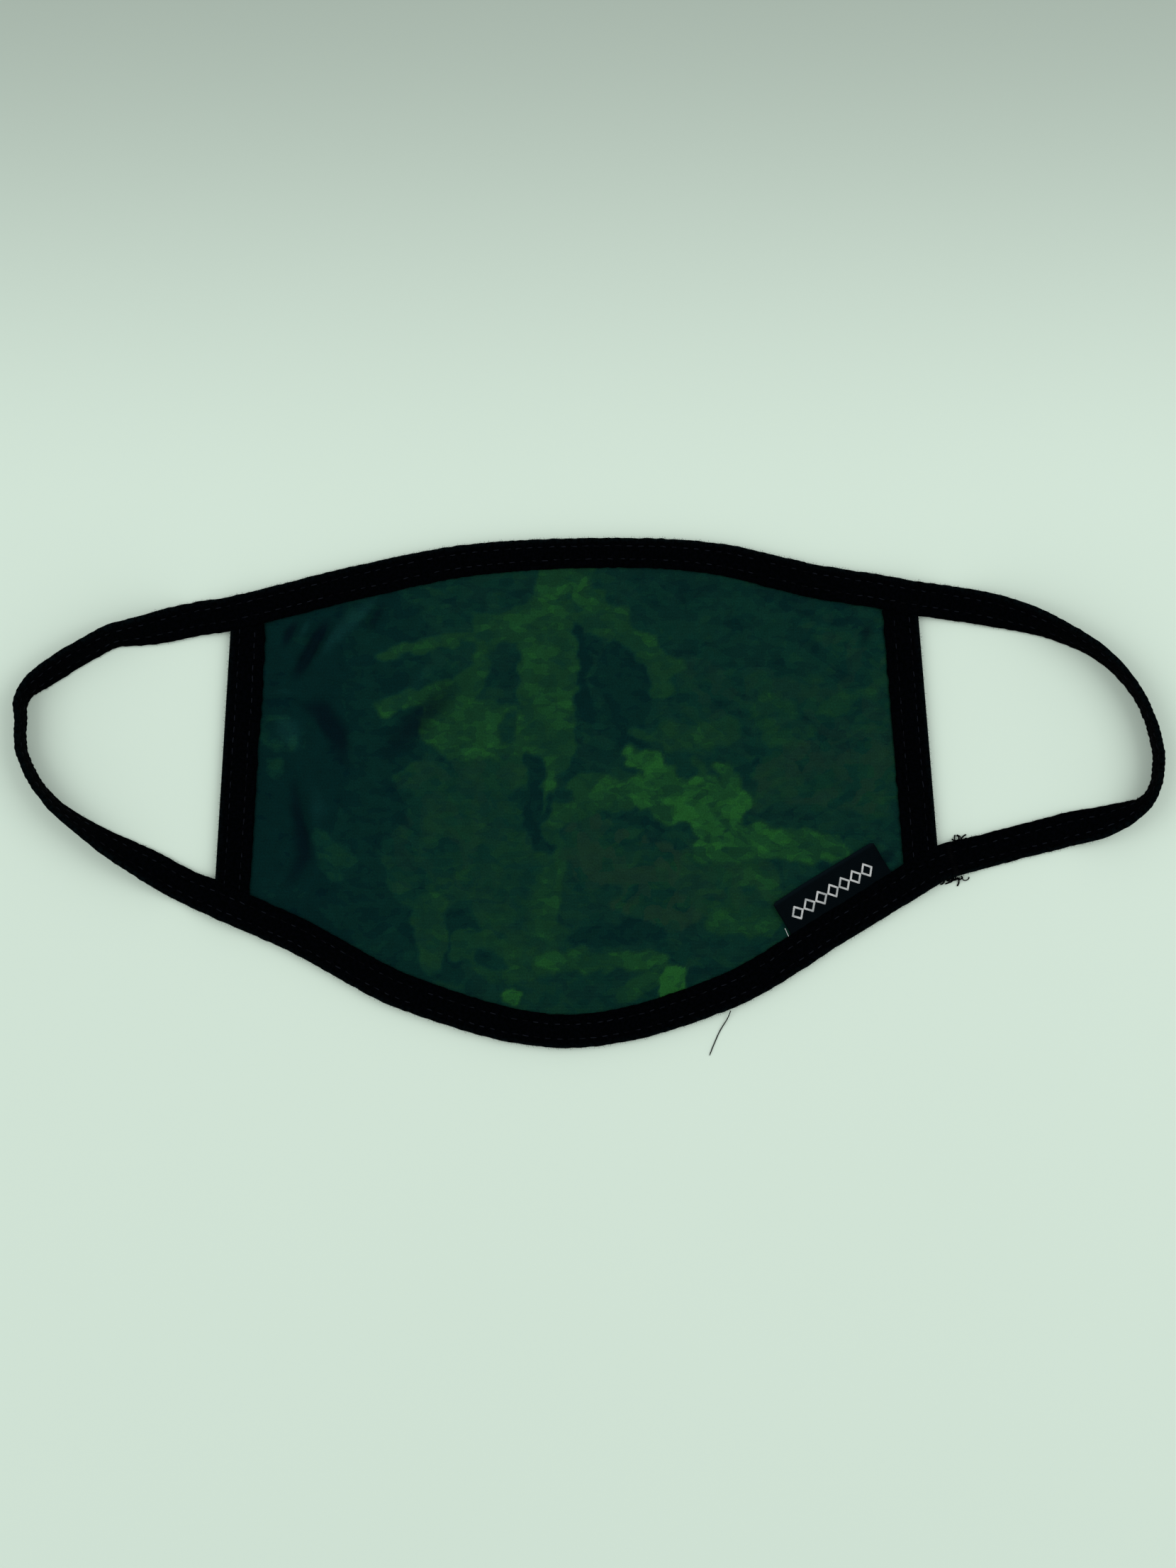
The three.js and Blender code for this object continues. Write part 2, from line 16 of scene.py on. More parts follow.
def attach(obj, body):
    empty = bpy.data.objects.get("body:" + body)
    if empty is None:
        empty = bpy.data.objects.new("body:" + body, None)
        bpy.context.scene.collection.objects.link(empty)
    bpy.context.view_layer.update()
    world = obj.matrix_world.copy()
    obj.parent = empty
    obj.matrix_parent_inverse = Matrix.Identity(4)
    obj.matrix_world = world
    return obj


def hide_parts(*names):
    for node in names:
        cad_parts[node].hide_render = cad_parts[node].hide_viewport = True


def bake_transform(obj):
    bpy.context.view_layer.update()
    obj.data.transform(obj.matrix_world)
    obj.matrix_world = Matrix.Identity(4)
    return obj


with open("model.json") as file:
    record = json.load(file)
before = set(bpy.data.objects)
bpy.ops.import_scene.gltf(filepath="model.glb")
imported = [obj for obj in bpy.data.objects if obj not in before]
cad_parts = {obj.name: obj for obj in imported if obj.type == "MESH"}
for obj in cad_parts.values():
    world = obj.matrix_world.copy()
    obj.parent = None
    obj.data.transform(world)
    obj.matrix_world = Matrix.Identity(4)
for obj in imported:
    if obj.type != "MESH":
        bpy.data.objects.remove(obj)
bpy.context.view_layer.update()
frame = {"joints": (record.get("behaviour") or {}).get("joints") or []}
fold_places = {joint["name"]: joint["pos_m"] for joint in frame["joints"]}

# ---- Dimensions shared with the CAD, in millimetres ----

# The centre fold is at the origin of the drawing, so its joint gives the shift to the frame.
DRAWING_TO_FRAME = [1000 * value for value in fold_places["centre_fold"][:2]]
TAPE_THICKNESS = 1.4
LEAF = 0.7
BINDING_THICKNESS = 2.6
FOLD_BACK = 1.4
TAPE_WIDTH = 9.0
SIDE_WIDTH = 9.4
LINING_TOP = 1.2
OUTER_TOP = 1.85
CROWN = 3.0
LINING_CROWN = 0.93
CROWN_REACH = 42.0
CROWN_MARGIN = 1.4
CLOTH_INSET = 1.8
CLOTH_SIDE_INSET = 2.4
STITCH_ROWS = (0.28, 0.71)
LABEL_FROM, LABEL_TO, LABEL_DEPTH, LABEL_THICKNESS = 58.5, 84.5, 9.2, 0.6

LEFT_FOLD = ((-98.5, -22.5), (-94.5, 42.5))
RIGHT_FOLD = ((92, -14), (87, 46))
LEFT_SIDE_ENDS = (45.6, -27.4)  # upper and lower end of each side binding
RIGHT_SIDE_ENDS = (48.6, -19.8)

TOP_EDGE = [
    (-94, 51.5, 9), (-60, 60, 9), (-30, 65.5, 8.5), (10, 67, 8),
    (35, 65.5, 8.5), (60, 60, 9), (86, 56, 9),
]
BOTTOM_EDGE = [
    (-99, -33.5, 9.5), (-80, -41.5, 9.5), (-48, -58, 9.5), (-5, -67.5, 9),
    (38, -57, 9.5), (70, -38, 9.5), (93, -24, 9.5),
]
# Centre line of each ear loop from the top corner to the bottom corner: x, y, roll in degrees.
LEFT_LOOP = [
    (-104, 45.5, 0), (-117, 42.5, 38), (-125, 41, 55), (-130, 38.5, 58),
    (-143.5, 30, 62), (-148.5, 25, 82), (-149, 18, 90), (-148.5, 10, 90),
    (-142, -1.5, 85), (-130, -11, 65), (-120, -17, 40), (-105, -25.5, 0),
]
RIGHT_LOOP = [
    (94, 50, 0), (108, 47.5, 28), (122, 43, 60), (136, 35, 80),
    (145.5, 23, 90), (149.5, 8, 90), (147, -1.5, 85), (137.5, -7, 40),
    (124, -10.5, 0), (103, -16, 0),
]

# ---- Sewing and cloth detail, in millimetres ----

STATION_STEP = 0.5  # along the tape
SPLIT_X = 45.0  # the perimeter tape is four pieces, which meet here
STITCH_PITCH = 2.9
STITCH_LENGTH = 1.7
GROOVE = 0.13  # the thread pulls the tape down by this much
FOLD_SPREAD = 8.0  # an ear loop's motion names a point this far past its fold
CENTRE_SPREAD = 8.0  # and the centre fold's motion names points this far each side of it
LAP = 8.5  # the tape's two ends lie on each other this far past the right fold
TACK_PLACE = 3.4  # and the bartack is this far past it
TACK_REACH, TACK_WIDTH, TACK_TURNS = 4.0, 0.85, 32  # half length, half width, strands
GROOVE_REACH = 0.55  # the groove's half width
STITCH_SLANT = 0.12
ROW_OFFSET = 0.9  # the inner row's stitches start this much later
OUTER_LEAF, LINING_LEAF = 0.58, 0.42
LINING_GAP = 0.72  # from the top of the outer cloth to the top of the lining
OUTER_GRID, LINING_GRID = (300, 206), (150, 104)  # columns, rows
LABEL_SEAM = 0.6  # the label starts this far under the binding's inner edge
LABEL_HEM = 0.9  # and is this much longer than the part that shows

# Soft folds in the cloth: points along the fold, half width, height (below 0 for a valley).
WRINKLES = [
    ([(-69, 44.5), (-72.5, 38), (-77, 30.5)], 1.8, -2.2),
    ([(-55, 51.5), (-62, 45.5), (-71, 36)], 2.4, 1.7),
    ([(-53.5, 51), (-56, 46.5), (-58, 42.5)], 1.4, -1.3),
    ([(-76.8, 45), (-78.6, 42), (-80, 38.5)], 1.4, -1.5),
    ([(-73.5, 45.5), (-76, 40)], 1.5, 1),
    ([(-85, 25.5), (-80, 26), (-74, 24.8)], 1.5, 0.8),
    ([(-82, 14), (-76, 17.5)], 5, 1.6),
    ([(-76.3, 23.6), (-70, 20.5), (-66, 15), (-64, 8.5)], 3, -1.7),
    ([(-77.4, 4), (-76.3, -5.5), (-74.6, -16.9), (-79.2, -24.9)], 2.3, -1.5),
    ([(-72, 2), (-70.5, -10)], 3.2, 0.9),
    ([(-34, 29), (-44, 20), (-54, 9)], 4.4, -1.3),
    ([(-40, 33), (-52, 20)], 3.6, 0.8),
    ([(76.5, 46.5), (73, 42), (71.5, 37)], 1.5, -1),
    ([(80, 44), (77.5, 39)], 1.2, -0.8),
    ([(80.5, -15.5), (76, -19.5)], 1.5, -0.9),
    ([(24, 55.5), (28, 51), (32.5, 55)], 1.2, -0.5),
    ([(-3, 54), (-4, 44)], 2.4, 0.4),
]

# The cloth stands higher along these lines, which leaves room for the folds.
SWELLS = [[(-76, 38), (-74, 8), (-75, -22)], [(73, 34), (74, 4)]]
SWELL_HEIGHT = 1.4

# The print: patches drawn as strokes. Points, half width, tone from 0 (dark teal) to 1 (bright
# green), and how olive if at all. A later stroke covers an earlier one.
BASE_TONE = 0.29
PRINT_COLOURS = [(0, 26, 29), (6, 42, 35), (15, 52, 33), (27, 78, 35)]  # dark to bright
PRINT_STEPS = 10
PRINT_TOP = 0.82  # the tone that has the brightest colour
PRINT_WANDER = [(13.0, 3.2, 2.8, 31.0), (4.6, 2.4, 1.8, 52.0), (1.9, 0.8, 0.6, 71.0)]
STROKES = [
    ([(-78, 48), (-74, 10), (-72, -30)], 24, 0.13),
    ([(-54, 46), (-52, 10), (-56, -22)], 11, 0.19),
    ([(-62, -30), (-47, -43)], 9, 0.21),
    ([(-38, -3), (-26, -14)], 12, 0.4, 0.35),
    ([(-20, -10), (-22, -30), (-14, -40)], 9, 0.4, 0.2),
    ([(-48, -14), (-46, -24)], 6, 0.36, 0.3),
    ([(30, 28), (60, 30), (74, 16)], 9, 0.33, 0.4),
    ([(22, 50), (40, 44), (62, 40)], 11, 0.26, 0.1),
    ([(62, 42), (74, 34)], 6, 0.33, 0.4),
    ([(-7, 59), (-8, 45)], 6.5, 0.58, 0.1),
    ([(-14, 45), (-26, 42)], 5.2, 0.58, 0.1),
    ([(-26, 41.5), (-40, 39), (-53, 36)], 1.7, 0.56, 0.1),
    ([(-4, 50), (6, 45), (13, 38), (18, 30.5)], 5, 0.61, 0.15),
    ([(-11.5, 42), (-11, 28), (-10.5, 12)], 6.6, 0.6, 0.1),
    ([(-28.5, 33.5), (-34, 28), (-44, 24.5), (-52, 22)], 2.3, 0.57),
    ([(-28.5, 33), (-34, 26)], 3.4, 0.58),
    ([(-36, 18), (-24, 16)], 8.5, 0.61, 0.05),
    ([(-24, 11), (-10, 10)], 6, 0.6, 0.1),
    ([(-27, 4), (-18, 3)], 4, 0.45, 0.4),
    ([(-11.5, 8), (-11, 1), (-10.7, -4)], 3.1, 0.65),
    ([(-9.5, -8), (-10.5, -20), (-11, -36)], 3.6, 0.52, 0.1),
    ([(-3, 42), (-2.5, 28), (0, 18)], 1.9, 0.14),
    ([(7, 31), (11, 20)], 6.4, 0.2),
    ([(12, 14), (11, 8)], 3.6, 0.2),
    ([(-15.5, 7), (-14, -3), (-12.5, -14)], 2.4, 0.18),
    ([(-8, -1), (-12, -9)], 1.3, 0.18),
    ([(-21.5, 20), (-22, 13)], 2, 0.3, 0.1),
    ([(22, 15), (36, 16)], 4, 0.47, 0.2),
    ([(12, 14.5), (27, 15)], 1.3, 0.5, 0.1),
    ([(48, 20), (54, 15)], 4.6, 0.45, 0.2),
    ([(62, 22), (74, 25)], 1.8, 0.5, 0.1),
    ([(40, 31), (46, 30)], 2.4, 0.36, 0.2),
    ([(52, 4), (76, 4)], 9.5, 0.36, 0.8),
    ([(46, -3), (60, 3)], 3.6, 0.44, 0.4),
    ([(2, -15), (14, -20), (23, -27)], 9.5, 0.41, 1),
    ([(30, -21), (45, -27)], 8, 0.5, 0.35),
    ([(36, -34), (46, -33)], 3.6, 0.6),
    ([(0, 1.5), (10, -1)], 3.5, 0.63, 0.1),
    ([(10.5, 9), (17, 8.5)], 2.5, 0.74),
    ([(-6, -4.5), (8, -2), (14, 0)], 2.6, 0.6, 0.1),
    ([(15, 8), (20, 3)], 2.8, 0.7),
    ([(12, 2), (20, -1)], 4, 0.68),
    ([(20, -2), (30, -1.5), (38, -5)], 5.6, 0.71),
    ([(35.5, 6), (37, 0)], 2.6, 0.7),
    ([(27, -3), (33, -10)], 3.8, 0.8),
    ([(30, -14), (46, -13.5), (64, -15)], 3.4, 0.7),
    ([(26, 7), (29, 5)], 1.8, 0.5, 0.2),
    ([(-2, -37), (16, -36)], 3.6, 0.18),
    ([(-34, -35), (-35, -47)], 4.4, 0.2),
    ([(-42, -29), (-41, -43)], 3.8, 0.5, 0.2),
    ([(-30, -42), (-17, -46)], 5, 0.5, 0.1),
    ([(-26.5, -44), (-22, -45)], 2, 0.24),
    ([(-12, -44), (4, -44.5), (18, -45)], 2.5, 0.62),
    ([(8, -53), (17, -50)], 2.6, 0.56),
    ([(21.5, -48.5), (22, -53)], 2.8, 0.93),
    ([(-23, -54.3), (-20.5, -54.3)], 1.6, 0.78),
    ([(-84, 16), (-79, 14)], 3.4, 0.31),
    ([(-84, 5), (-81, 6)], 2.8, 0.31),
    ([(-70, -16), (-64, -18)], 4.4, 0.3),
    ([(60, -31), (78, -20)], 4, 0.27),
]


def to_frame(point):
    """A drawing point in millimetres as a point of the frame in metres."""
    x, y = point[0] + DRAWING_TO_FRAME[0], point[1] + DRAWING_TO_FRAME[1]
    return (x / 1000, y / 1000, point[2] / 1000)


def srgb(*channels):
    """Linear RGBA of an sRGB colour given as 0 to 255."""
    linear = []
    for value in channels:
        c = value / 255
        linear.append(c / 12.92 if c <= 0.04045 else ((c + 0.055) / 1.055) ** 2.4)
    return (*linear, 1.0)


# ---- Plane geometry, as in the CAD ----


def smoothstep(t):
    c = np.clip(t, 0.0, 1.0)
    return c * c * (3 - 2 * c)


def mix(a, b, t):
    return a + (b - a) * t


def edge_value(table, x, column):
    """Smooth value of one column of an edge table at x."""
    last = len(table) - 1
    i = 0
    while i < last - 1 and x > table[i + 1][0]:
        i += 1

    def slope(k):
        a, b = table[max(0, k - 1)], table[min(last, k + 1)]
        return (b[column] - a[column]) / (b[0] - a[0])

    span = table[i + 1][0] - table[i][0]
    t = (x - table[i][0]) / span
    return (
        (1 + 2 * t) * (1 - t) ** 2 * table[i][column]
        + t * (1 - t) ** 2 * span * slope(i)
        + t * t * (3 - 2 * t) * table[i + 1][column]
        + t * t * (t - 1) * span * slope(i + 1)
    )


def inside_edge(table, x, side, distance):
    """Point at a distance inside an edge. side is 1 for the top edge, -1 for the bottom."""
    step = 0.5
    rise = edge_value(table, x + step, 1) - edge_value(table, x - step, 1)
    normal = Vector((rise, -2 * step)).normalized() * side
    return Vector((x, edge_value(table, x, 1))) + normal * distance


def fold_x(fold, y):
    (ax, ay), (bx, by) = fold
    return ax + (bx - ax) * (y - ay) / (by - ay)


def fold_normal(fold):
    """Unit normal of a fold line, away from the mask."""
    along = (Vector(fold[1]) - Vector(fold[0])).normalized()
    normal = Vector((along.y, -along.x))
    return -normal if fold[1][0] < 0 else normal


def beyond_fold(fold, x, y):
    """Distance of a point past a fold line, away from the mask."""
    normal = fold_normal(fold)
    return (x - fold[1][0]) * normal.x + (y - fold[1][1]) * normal.y


def inner_line(table, side):
    """Inner edge of the top or bottom binding, sampled for np.interp."""
    points = []
    for x in np.arange(-100.0, 96.0, 1.0):
        points.append(inside_edge(table, x, side, edge_value(table, x, 2)))
    points.sort(key=lambda p: p.x)
    return np.array([p.x for p in points]), np.array([p.y for p in points])


TOP_INNER = inner_line(TOP_EDGE, 1)
BOTTOM_INNER = inner_line(BOTTOM_EDGE, -1)


def cloth_clearance(x, y):
    """Distances from points on the cloth to the top, bottom and nearer side binding."""
    top = np.interp(x, *TOP_INNER) - y
    bottom = y - np.interp(x, *BOTTOM_INNER)
    left = -beyond_fold(LEFT_FOLD, x, y)
    right = -beyond_fold(RIGHT_FOLD, x, y)
    return top, bottom, np.minimum(left, right) - SIDE_WIDTH


def noise_at(x, y, size, seed):
    """Smooth noise from about -1 to 1 with features of the given size."""
    flat = zip(np.ravel(x) / size, np.ravel(y) / size)
    values = [noise.noise(Vector((a, b, seed))) for a, b in flat]
    return np.reshape(values, np.shape(x))


def line_distance(points, x, y):
    """Distance to a line through points, and how far along it the nearest point is (0 to 1)."""
    best = np.full(np.shape(x), 1e9)
    share = np.zeros(np.shape(x))
    lengths = [math.dist(a, b) for a, b in zip(points, points[1:])]
    before = 0.0
    for (ax, ay), (bx, by), length in zip(points, points[1:], lengths):
        t = ((x - ax) * (bx - ax) + (y - ay) * (by - ay)) / length**2
        t = np.clip(t, 0, 1)
        d = np.hypot(x - mix(ax, bx, t), y - mix(ay, by, t))
        share = np.where(d < best, (before + t * length) / sum(lengths), share)
        best = np.minimum(best, d)
        before += length
    return best, share


def cloth_crown(x, y):
    """How far the flat-cut cloth stands up, as the CAD has it."""
    product = np.ones(np.shape(x))
    for clearance in cloth_clearance(x, y):
        reach = np.clip((clearance - CROWN_MARGIN) / CROWN_REACH, 0, 1)
        product = product * np.sin(math.pi / 2 * reach)
    return CROWN * product**0.8


def cloth_swell(x, y):
    """0 to 1 where the cloth stands a little higher, inside each side binding."""
    swell = np.zeros(np.shape(x))
    for points in SWELLS:
        d, _ = line_distance(points, x, y)
        swell = np.maximum(swell, np.exp(-((d / 12) ** 2)))
    return swell


def cloth_folds(x, y):
    """Height of the soft folds alone."""
    folds = np.zeros(np.shape(x))
    wander = 0.9 * noise_at(x, y, 6.0, 3.1)
    for points, width, rise in WRINKLES:
        d, share = line_distance(points, x + wander, y + wander)
        taper = np.sin(math.pi * np.clip(0.12 + 0.76 * share, 0, 1))
        folds = folds + rise * taper * np.exp(-((d / width) ** 2))
    return folds


def cloth_height(x, y):
    """Top of the outer cloth: crown, the swell beside the tape, folds and puckers."""
    x, y = np.asarray(x, float), np.asarray(y, float)
    top, bottom, side = cloth_clearance(x, y)
    edge = np.maximum(0, np.minimum(np.minimum(top, bottom), side))
    free = 1 - np.exp(-edge / 2.5)
    height = OUTER_TOP + cloth_crown(x, y) + 0.4 * (1 - np.exp(-edge / 2.0))
    ripple = np.zeros(np.shape(x))
    for clearance, along, seed in ((top, x, 7.3), (bottom, x, 9.7), (side, y, 12.1)):
        patchy = np.clip(0.35 + 0.9 * noise_at(along, np.sign(x), 17.0, seed), 0, 1)
        wave = np.cos(along * 2 * math.pi / 5.3 + 2.4 * noise_at(along, along, 11.0, seed + 1))
        close = np.exp(-np.maximum(0, clearance) / 3.4)
        ripple = ripple + 0.5 * patchy * wave * close
    rolling = 0.22 * noise_at(x, y, 19.0, 21.5) + 0.1 * noise_at(x, y, 8.0, 4.4)
    swell = SWELL_HEIGHT * cloth_swell(x, y)
    return np.maximum(height + free * (swell + cloth_folds(x, y) + ripple + rolling), 1.25)


def print_tone(x, y):
    """Tone and olive share of the print at points on the cloth."""
    px, py = x, y
    for size, reach_x, reach_y, seed in PRINT_WANDER:
        px = px + reach_x * noise_at(x, y, size, seed)
        py = py + reach_y * noise_at(x, y, size, seed + 16)
    swell = 1 + 0.35 * noise_at(x, y, 7.0, 90.0)
    tone = np.full(np.shape(x), BASE_TONE)
    olive = np.full(np.shape(x), 0.15)
    for points, half_width, stroke_tone, *stroke_olive in STROKES:
        d, _ = line_distance(points, px, py)
        cover = smoothstep((half_width * swell - d) / 1.1 + 0.5)
        tone = mix(tone, stroke_tone, cover)
        olive = mix(olive, sum(stroke_olive), cover)
    return tone, olive


# ---- Mesh helpers ----


def make_piece(name, points, faces, material, weave=None, closed=True):
    """A smooth mesh object from drawing points. weave gives each point's place in the cloth."""
    mesh = bpy.data.meshes.new(name)
    mesh.from_pydata([to_frame(p) for p in points], [], faces)
    if weave is not None:
        layer = mesh.uv_layers.new(name="weave")
        corners = np.empty(len(mesh.loops), dtype=np.int32)
        mesh.loops.foreach_get("vertex_index", corners)
        layer.data.foreach_set("uv", np.asarray(weave, dtype=np.float32)[corners].ravel())
    if closed:
        work = bmesh.new()
        work.from_mesh(mesh)
        bmesh.ops.recalc_face_normals(work, faces=work.faces)
        work.to_mesh(mesh)
        work.free()
    mesh.polygons.foreach_set("use_smooth", [True] * len(mesh.polygons))
    mesh.materials.append(material)
    piece = bpy.data.objects.new(name, mesh)
    bpy.context.scene.collection.objects.link(piece)
    return piece


class Shape:
    """Points, faces and weave places gathered for one mesh."""

    def __init__(self):
        self.points, self.faces, self.weave = [], [], []

    def sweep(self, rings, weave=None):
        """Adds a closed skin through rings of equal size, capped at both ends."""
        start, size = len(self.points), len(rings[0])
        for i, ring in enumerate(rings):
            self.points.extend(ring)
            self.weave.extend(weave[i] if weave else [(0.0, 0.0)] * size)
        for r in range(len(rings) - 1):
            for k in range(size):
                a = start + r * size + k
                b = start + r * size + (k + 1) % size
                self.faces.append((a, b, b + size, a + size))
        end = start + (len(rings) - 1) * size
        self.faces.append(tuple(range(start + size - 1, start - 1, -1)))
        self.faces.append(tuple(range(end, end + size)))

    def tube(self, path, radii, sides=6):
        """Adds a round thread along a path; its weave place is length and turn."""
        rings, weave = [], []
        length = 0.0
        side = None
        for i, point in enumerate(path):
            ahead = path[min(i + 1, len(path) - 1)] - path[max(i - 1, 0)]
            tangent = ahead.normalized()
            if side is None:
                side = tangent.orthogonal().normalized()
            side = (side - tangent * side.dot(tangent)).normalized()
            other = tangent.cross(side)
            if i:
                length += (point - path[i - 1]).length
            angles = [2 * math.pi * k / sides for k in range(sides)]
            rings.append(
                [point + (side * math.cos(a) + other * math.sin(a)) * radii[i] for a in angles]
            )
            weave.append([(length, k / sides) for k in range(sides)])
        self.sweep(rings, weave)

    def piece(self, name, material, closed=True):
        return make_piece(name, self.points, self.faces, material, self.weave, closed)


def smooth_path(points, count):
    """Points along a smooth curve through a few points."""
    knots = [Vector(p) for p in points]
    knots = [2 * knots[0] - knots[1], *knots, 2 * knots[-1] - knots[-2]]
    spans = len(points) - 1
    path = []
    for i in range(count + 1):
        place = min(i / count * spans, spans - 1e-6)
        k, t = int(place), place - int(place)
        a, b, c, d = knots[k : k + 4]
        bend, twist = 2 * a - 5 * b + 4 * c - d, 3 * b - a - 3 * c + d
        path.append(0.5 * (2 * b + (c - a) * t + bend * t**2 + twist * t**3))
    return path


# ---- Tape ----


class Station:
    """One cross-section of a run of tape."""

    def __init__(self, at, out, roll, width, thickness, slot, run):
        self.at, self.out, self.roll, self.run = at, out, roll, run
        self.width, self.thickness, self.slot = width, thickness, slot
        self.turn = (math.sin(math.radians(roll)), math.cos(math.radians(roll)))
        self.lift = -min(a * self.turn[0] + b * self.turn[1] for a, b, _ in self.outline())

    def face(self, rows):
        """The upper half of the outline as (distance from the outer fold, height)."""
        width, half = self.width, self.thickness / 2
        bend = min(half, 0.8)
        lip = max(0.03, half - LEAF)
        line = []
        for k in range(5):
            angle = k * math.pi / 8
            line.append((bend - bend * math.cos(angle), half * math.sin(angle)))
        line.append((0.16 * width, half + 0.03))
        for row, beyond in ((rows[0], (0.5, 0.07)), (rows[1], (0.88, 0.04))):
            for step, drop in ((-GROOVE_REACH, 0), (0, GROOVE), (GROOVE_REACH, 0)):
                line.append((row * width + step, half - drop))
            line.append((beyond[0] * width, half + beyond[1]))
        rim = [(0.28, half - 0.03), (0.05, half - 0.17), (0, half - LEAF / 2), (0.07, lip + 0.03)]
        line.extend((width - back, height) for back, height in rim)
        line.append((width - self.slot, lip))
        return line

    def outline(self):
        """The outline as (outward, up, weave place), from the outer fold over the top and back."""
        line = self.face(STITCH_ROWS)
        half = self.width / 2
        over = [(half - u, b, u) for u, b in line]
        under = [(half - u, -b, -u) for u, b in line[:0:-1]]
        return over + under

    def place(self, a, b):
        """Drawing point at a outward and b up in the tape's own section."""
        sin, cos = self.turn
        flat = self.at + self.out * (a * cos - b * sin)
        return Vector((flat.x, flat.y, self.lift + a * sin + b * cos))

    def ring(self):
        return [self.place(a, b) for a, b, _ in self.outline()]


def perimeter_knots():
    """Centre line of the perimeter tape, once round clockwise: x, y, roll, width."""

    def bound(table, side, xs):
        knots = []
        for x in xs:
            width = edge_value(table, x, 2)
            p = inside_edge(table, x, side, width / 2)
            knots.append((p.x, p.y, 0.0, width))
        return knots

    def corner(fold, end, row):
        outer_x = fold_x(fold, row[1])
        return ((outer_x + fold[end][0]) / 2, (row[1] + fold[end][1]) / 2, 0.0, row[2])

    def loop(table):
        return [(x, y, float(roll), TAPE_WIDTH) for x, y, roll in table]

    return [
        *bound(TOP_EDGE, 1, np.arange(-SPLIT_X, 80.0, 8.0)),
        corner(RIGHT_FOLD, 1, TOP_EDGE[-1]),
        *loop(RIGHT_LOOP),
        corner(RIGHT_FOLD, 0, BOTTOM_EDGE[-1]),
        *bound(BOTTOM_EDGE, -1, np.arange(82.0, -92.0, -8.0)),
        corner(LEFT_FOLD, 0, BOTTOM_EDGE[0]),
        *reversed(loop(LEFT_LOOP)),
        corner(LEFT_FOLD, 1, TOP_EDGE[0]),
        *bound(TOP_EDGE, 1, np.arange(-85.0, -SPLIT_X - 4, 8.0)),
    ]


def closed_curve(knots, step):
    """Evenly spaced points on a closed centripetal Catmull-Rom curve through knots."""
    p = np.array(knots, float)
    n = len(p)
    gap = np.sqrt(np.hypot(*(np.roll(p, -1, axis=0) - p)[:, :2].T))
    dense = []
    for i in range(n):
        p0, p1, p2, p3 = (p[(i + k) % n] for k in (-1, 0, 1, 2))
        d0, d1, d2 = gap[i - 1], gap[i], gap[(i + 1) % n]
        m1 = ((p1 - p0) / d0 - (p2 - p0) / (d0 + d1) + (p2 - p1) / d1) * d1
        m2 = ((p2 - p1) / d1 - (p3 - p1) / (d1 + d2) + (p3 - p2) / d2) * d1
        for t in np.arange(0, 1, 1 / 24):
            dense.append(
                (2 * t**3 - 3 * t**2 + 1) * p1
                + (t**3 - 2 * t**2 + t) * m1
                + (3 * t**2 - 2 * t**3) * p2
                + (t**3 - t**2) * m2
            )
    dense.append(dense[0])
    dense = np.array(dense)
    run = np.concatenate([[0], np.cumsum(np.hypot(*np.diff(dense[:, :2], axis=0).T))])
    even = np.linspace(0, run[-1], int(run[-1] / step) + 1)
    return even, np.column_stack([np.interp(even, run, column) for column in dense.T])


def tip_share(x):
    """1 at the far ends of the ear loops, where the tape is creased and worn."""
    return smoothstep((abs(x) - 139) / 6)


def perimeter_stations():
    """Sections of the perimeter tape, once round, the last one repeating the first."""
    run, rows = closed_curve(perimeter_knots(), STATION_STEP)
    n = len(rows) - 1
    stations = []
    for i in range(n + 1):
        x, y, roll, width = rows[i]
        before, after = rows[(i - 1) % n], rows[(i + 1) % n]
        along = Vector((after[0] - before[0], after[1] - before[1])).normalized()
        out = Vector((-along.y, along.x))
        past_right = beyond_fold(RIGHT_FOLD, x, y)
        past = max(past_right, beyond_fold(LEFT_FOLD, x, y))
        bare = smoothstep(past / 10)
        if past_right > 0 and y < 0:
            bare = smoothstep((past_right - LAP) / 0.9)
        thickness = mix(BINDING_THICKNESS, TAPE_THICKNESS, bare)
        corner_lump = smoothstep((1.5 - past) / 2.5) * smoothstep((11 + past) / 3)
        thickness += 0.55 * corner_lump
        slot = mix(width - FOLD_BACK, 0.35, smoothstep((past + 0.5) / 3))
        wrapped = 2 * math.pi * i / n
        ring_noise = Vector((40 * math.cos(wrapped), 40 * math.sin(wrapped), 5.0))
        width += 0.22 * noise.noise(ring_noise) - 0.05
        x, y = Vector((x, y)) + out * 0.16 * noise.noise(ring_noise * 1.9)
        thickness += 0.1 * noise.noise(ring_noise * 1.7)
        scallop = math.sin(run[i] * 2 * math.pi / 1.6 + 2 * noise.noise(ring_noise * 3))
        thickness += 0.2 * tip_share(x) * scallop
        roll = min(90, max(0, roll))
        stations.append(Station(Vector((x, y)), out, roll, width, thickness, slot, run[i]))
    return stations


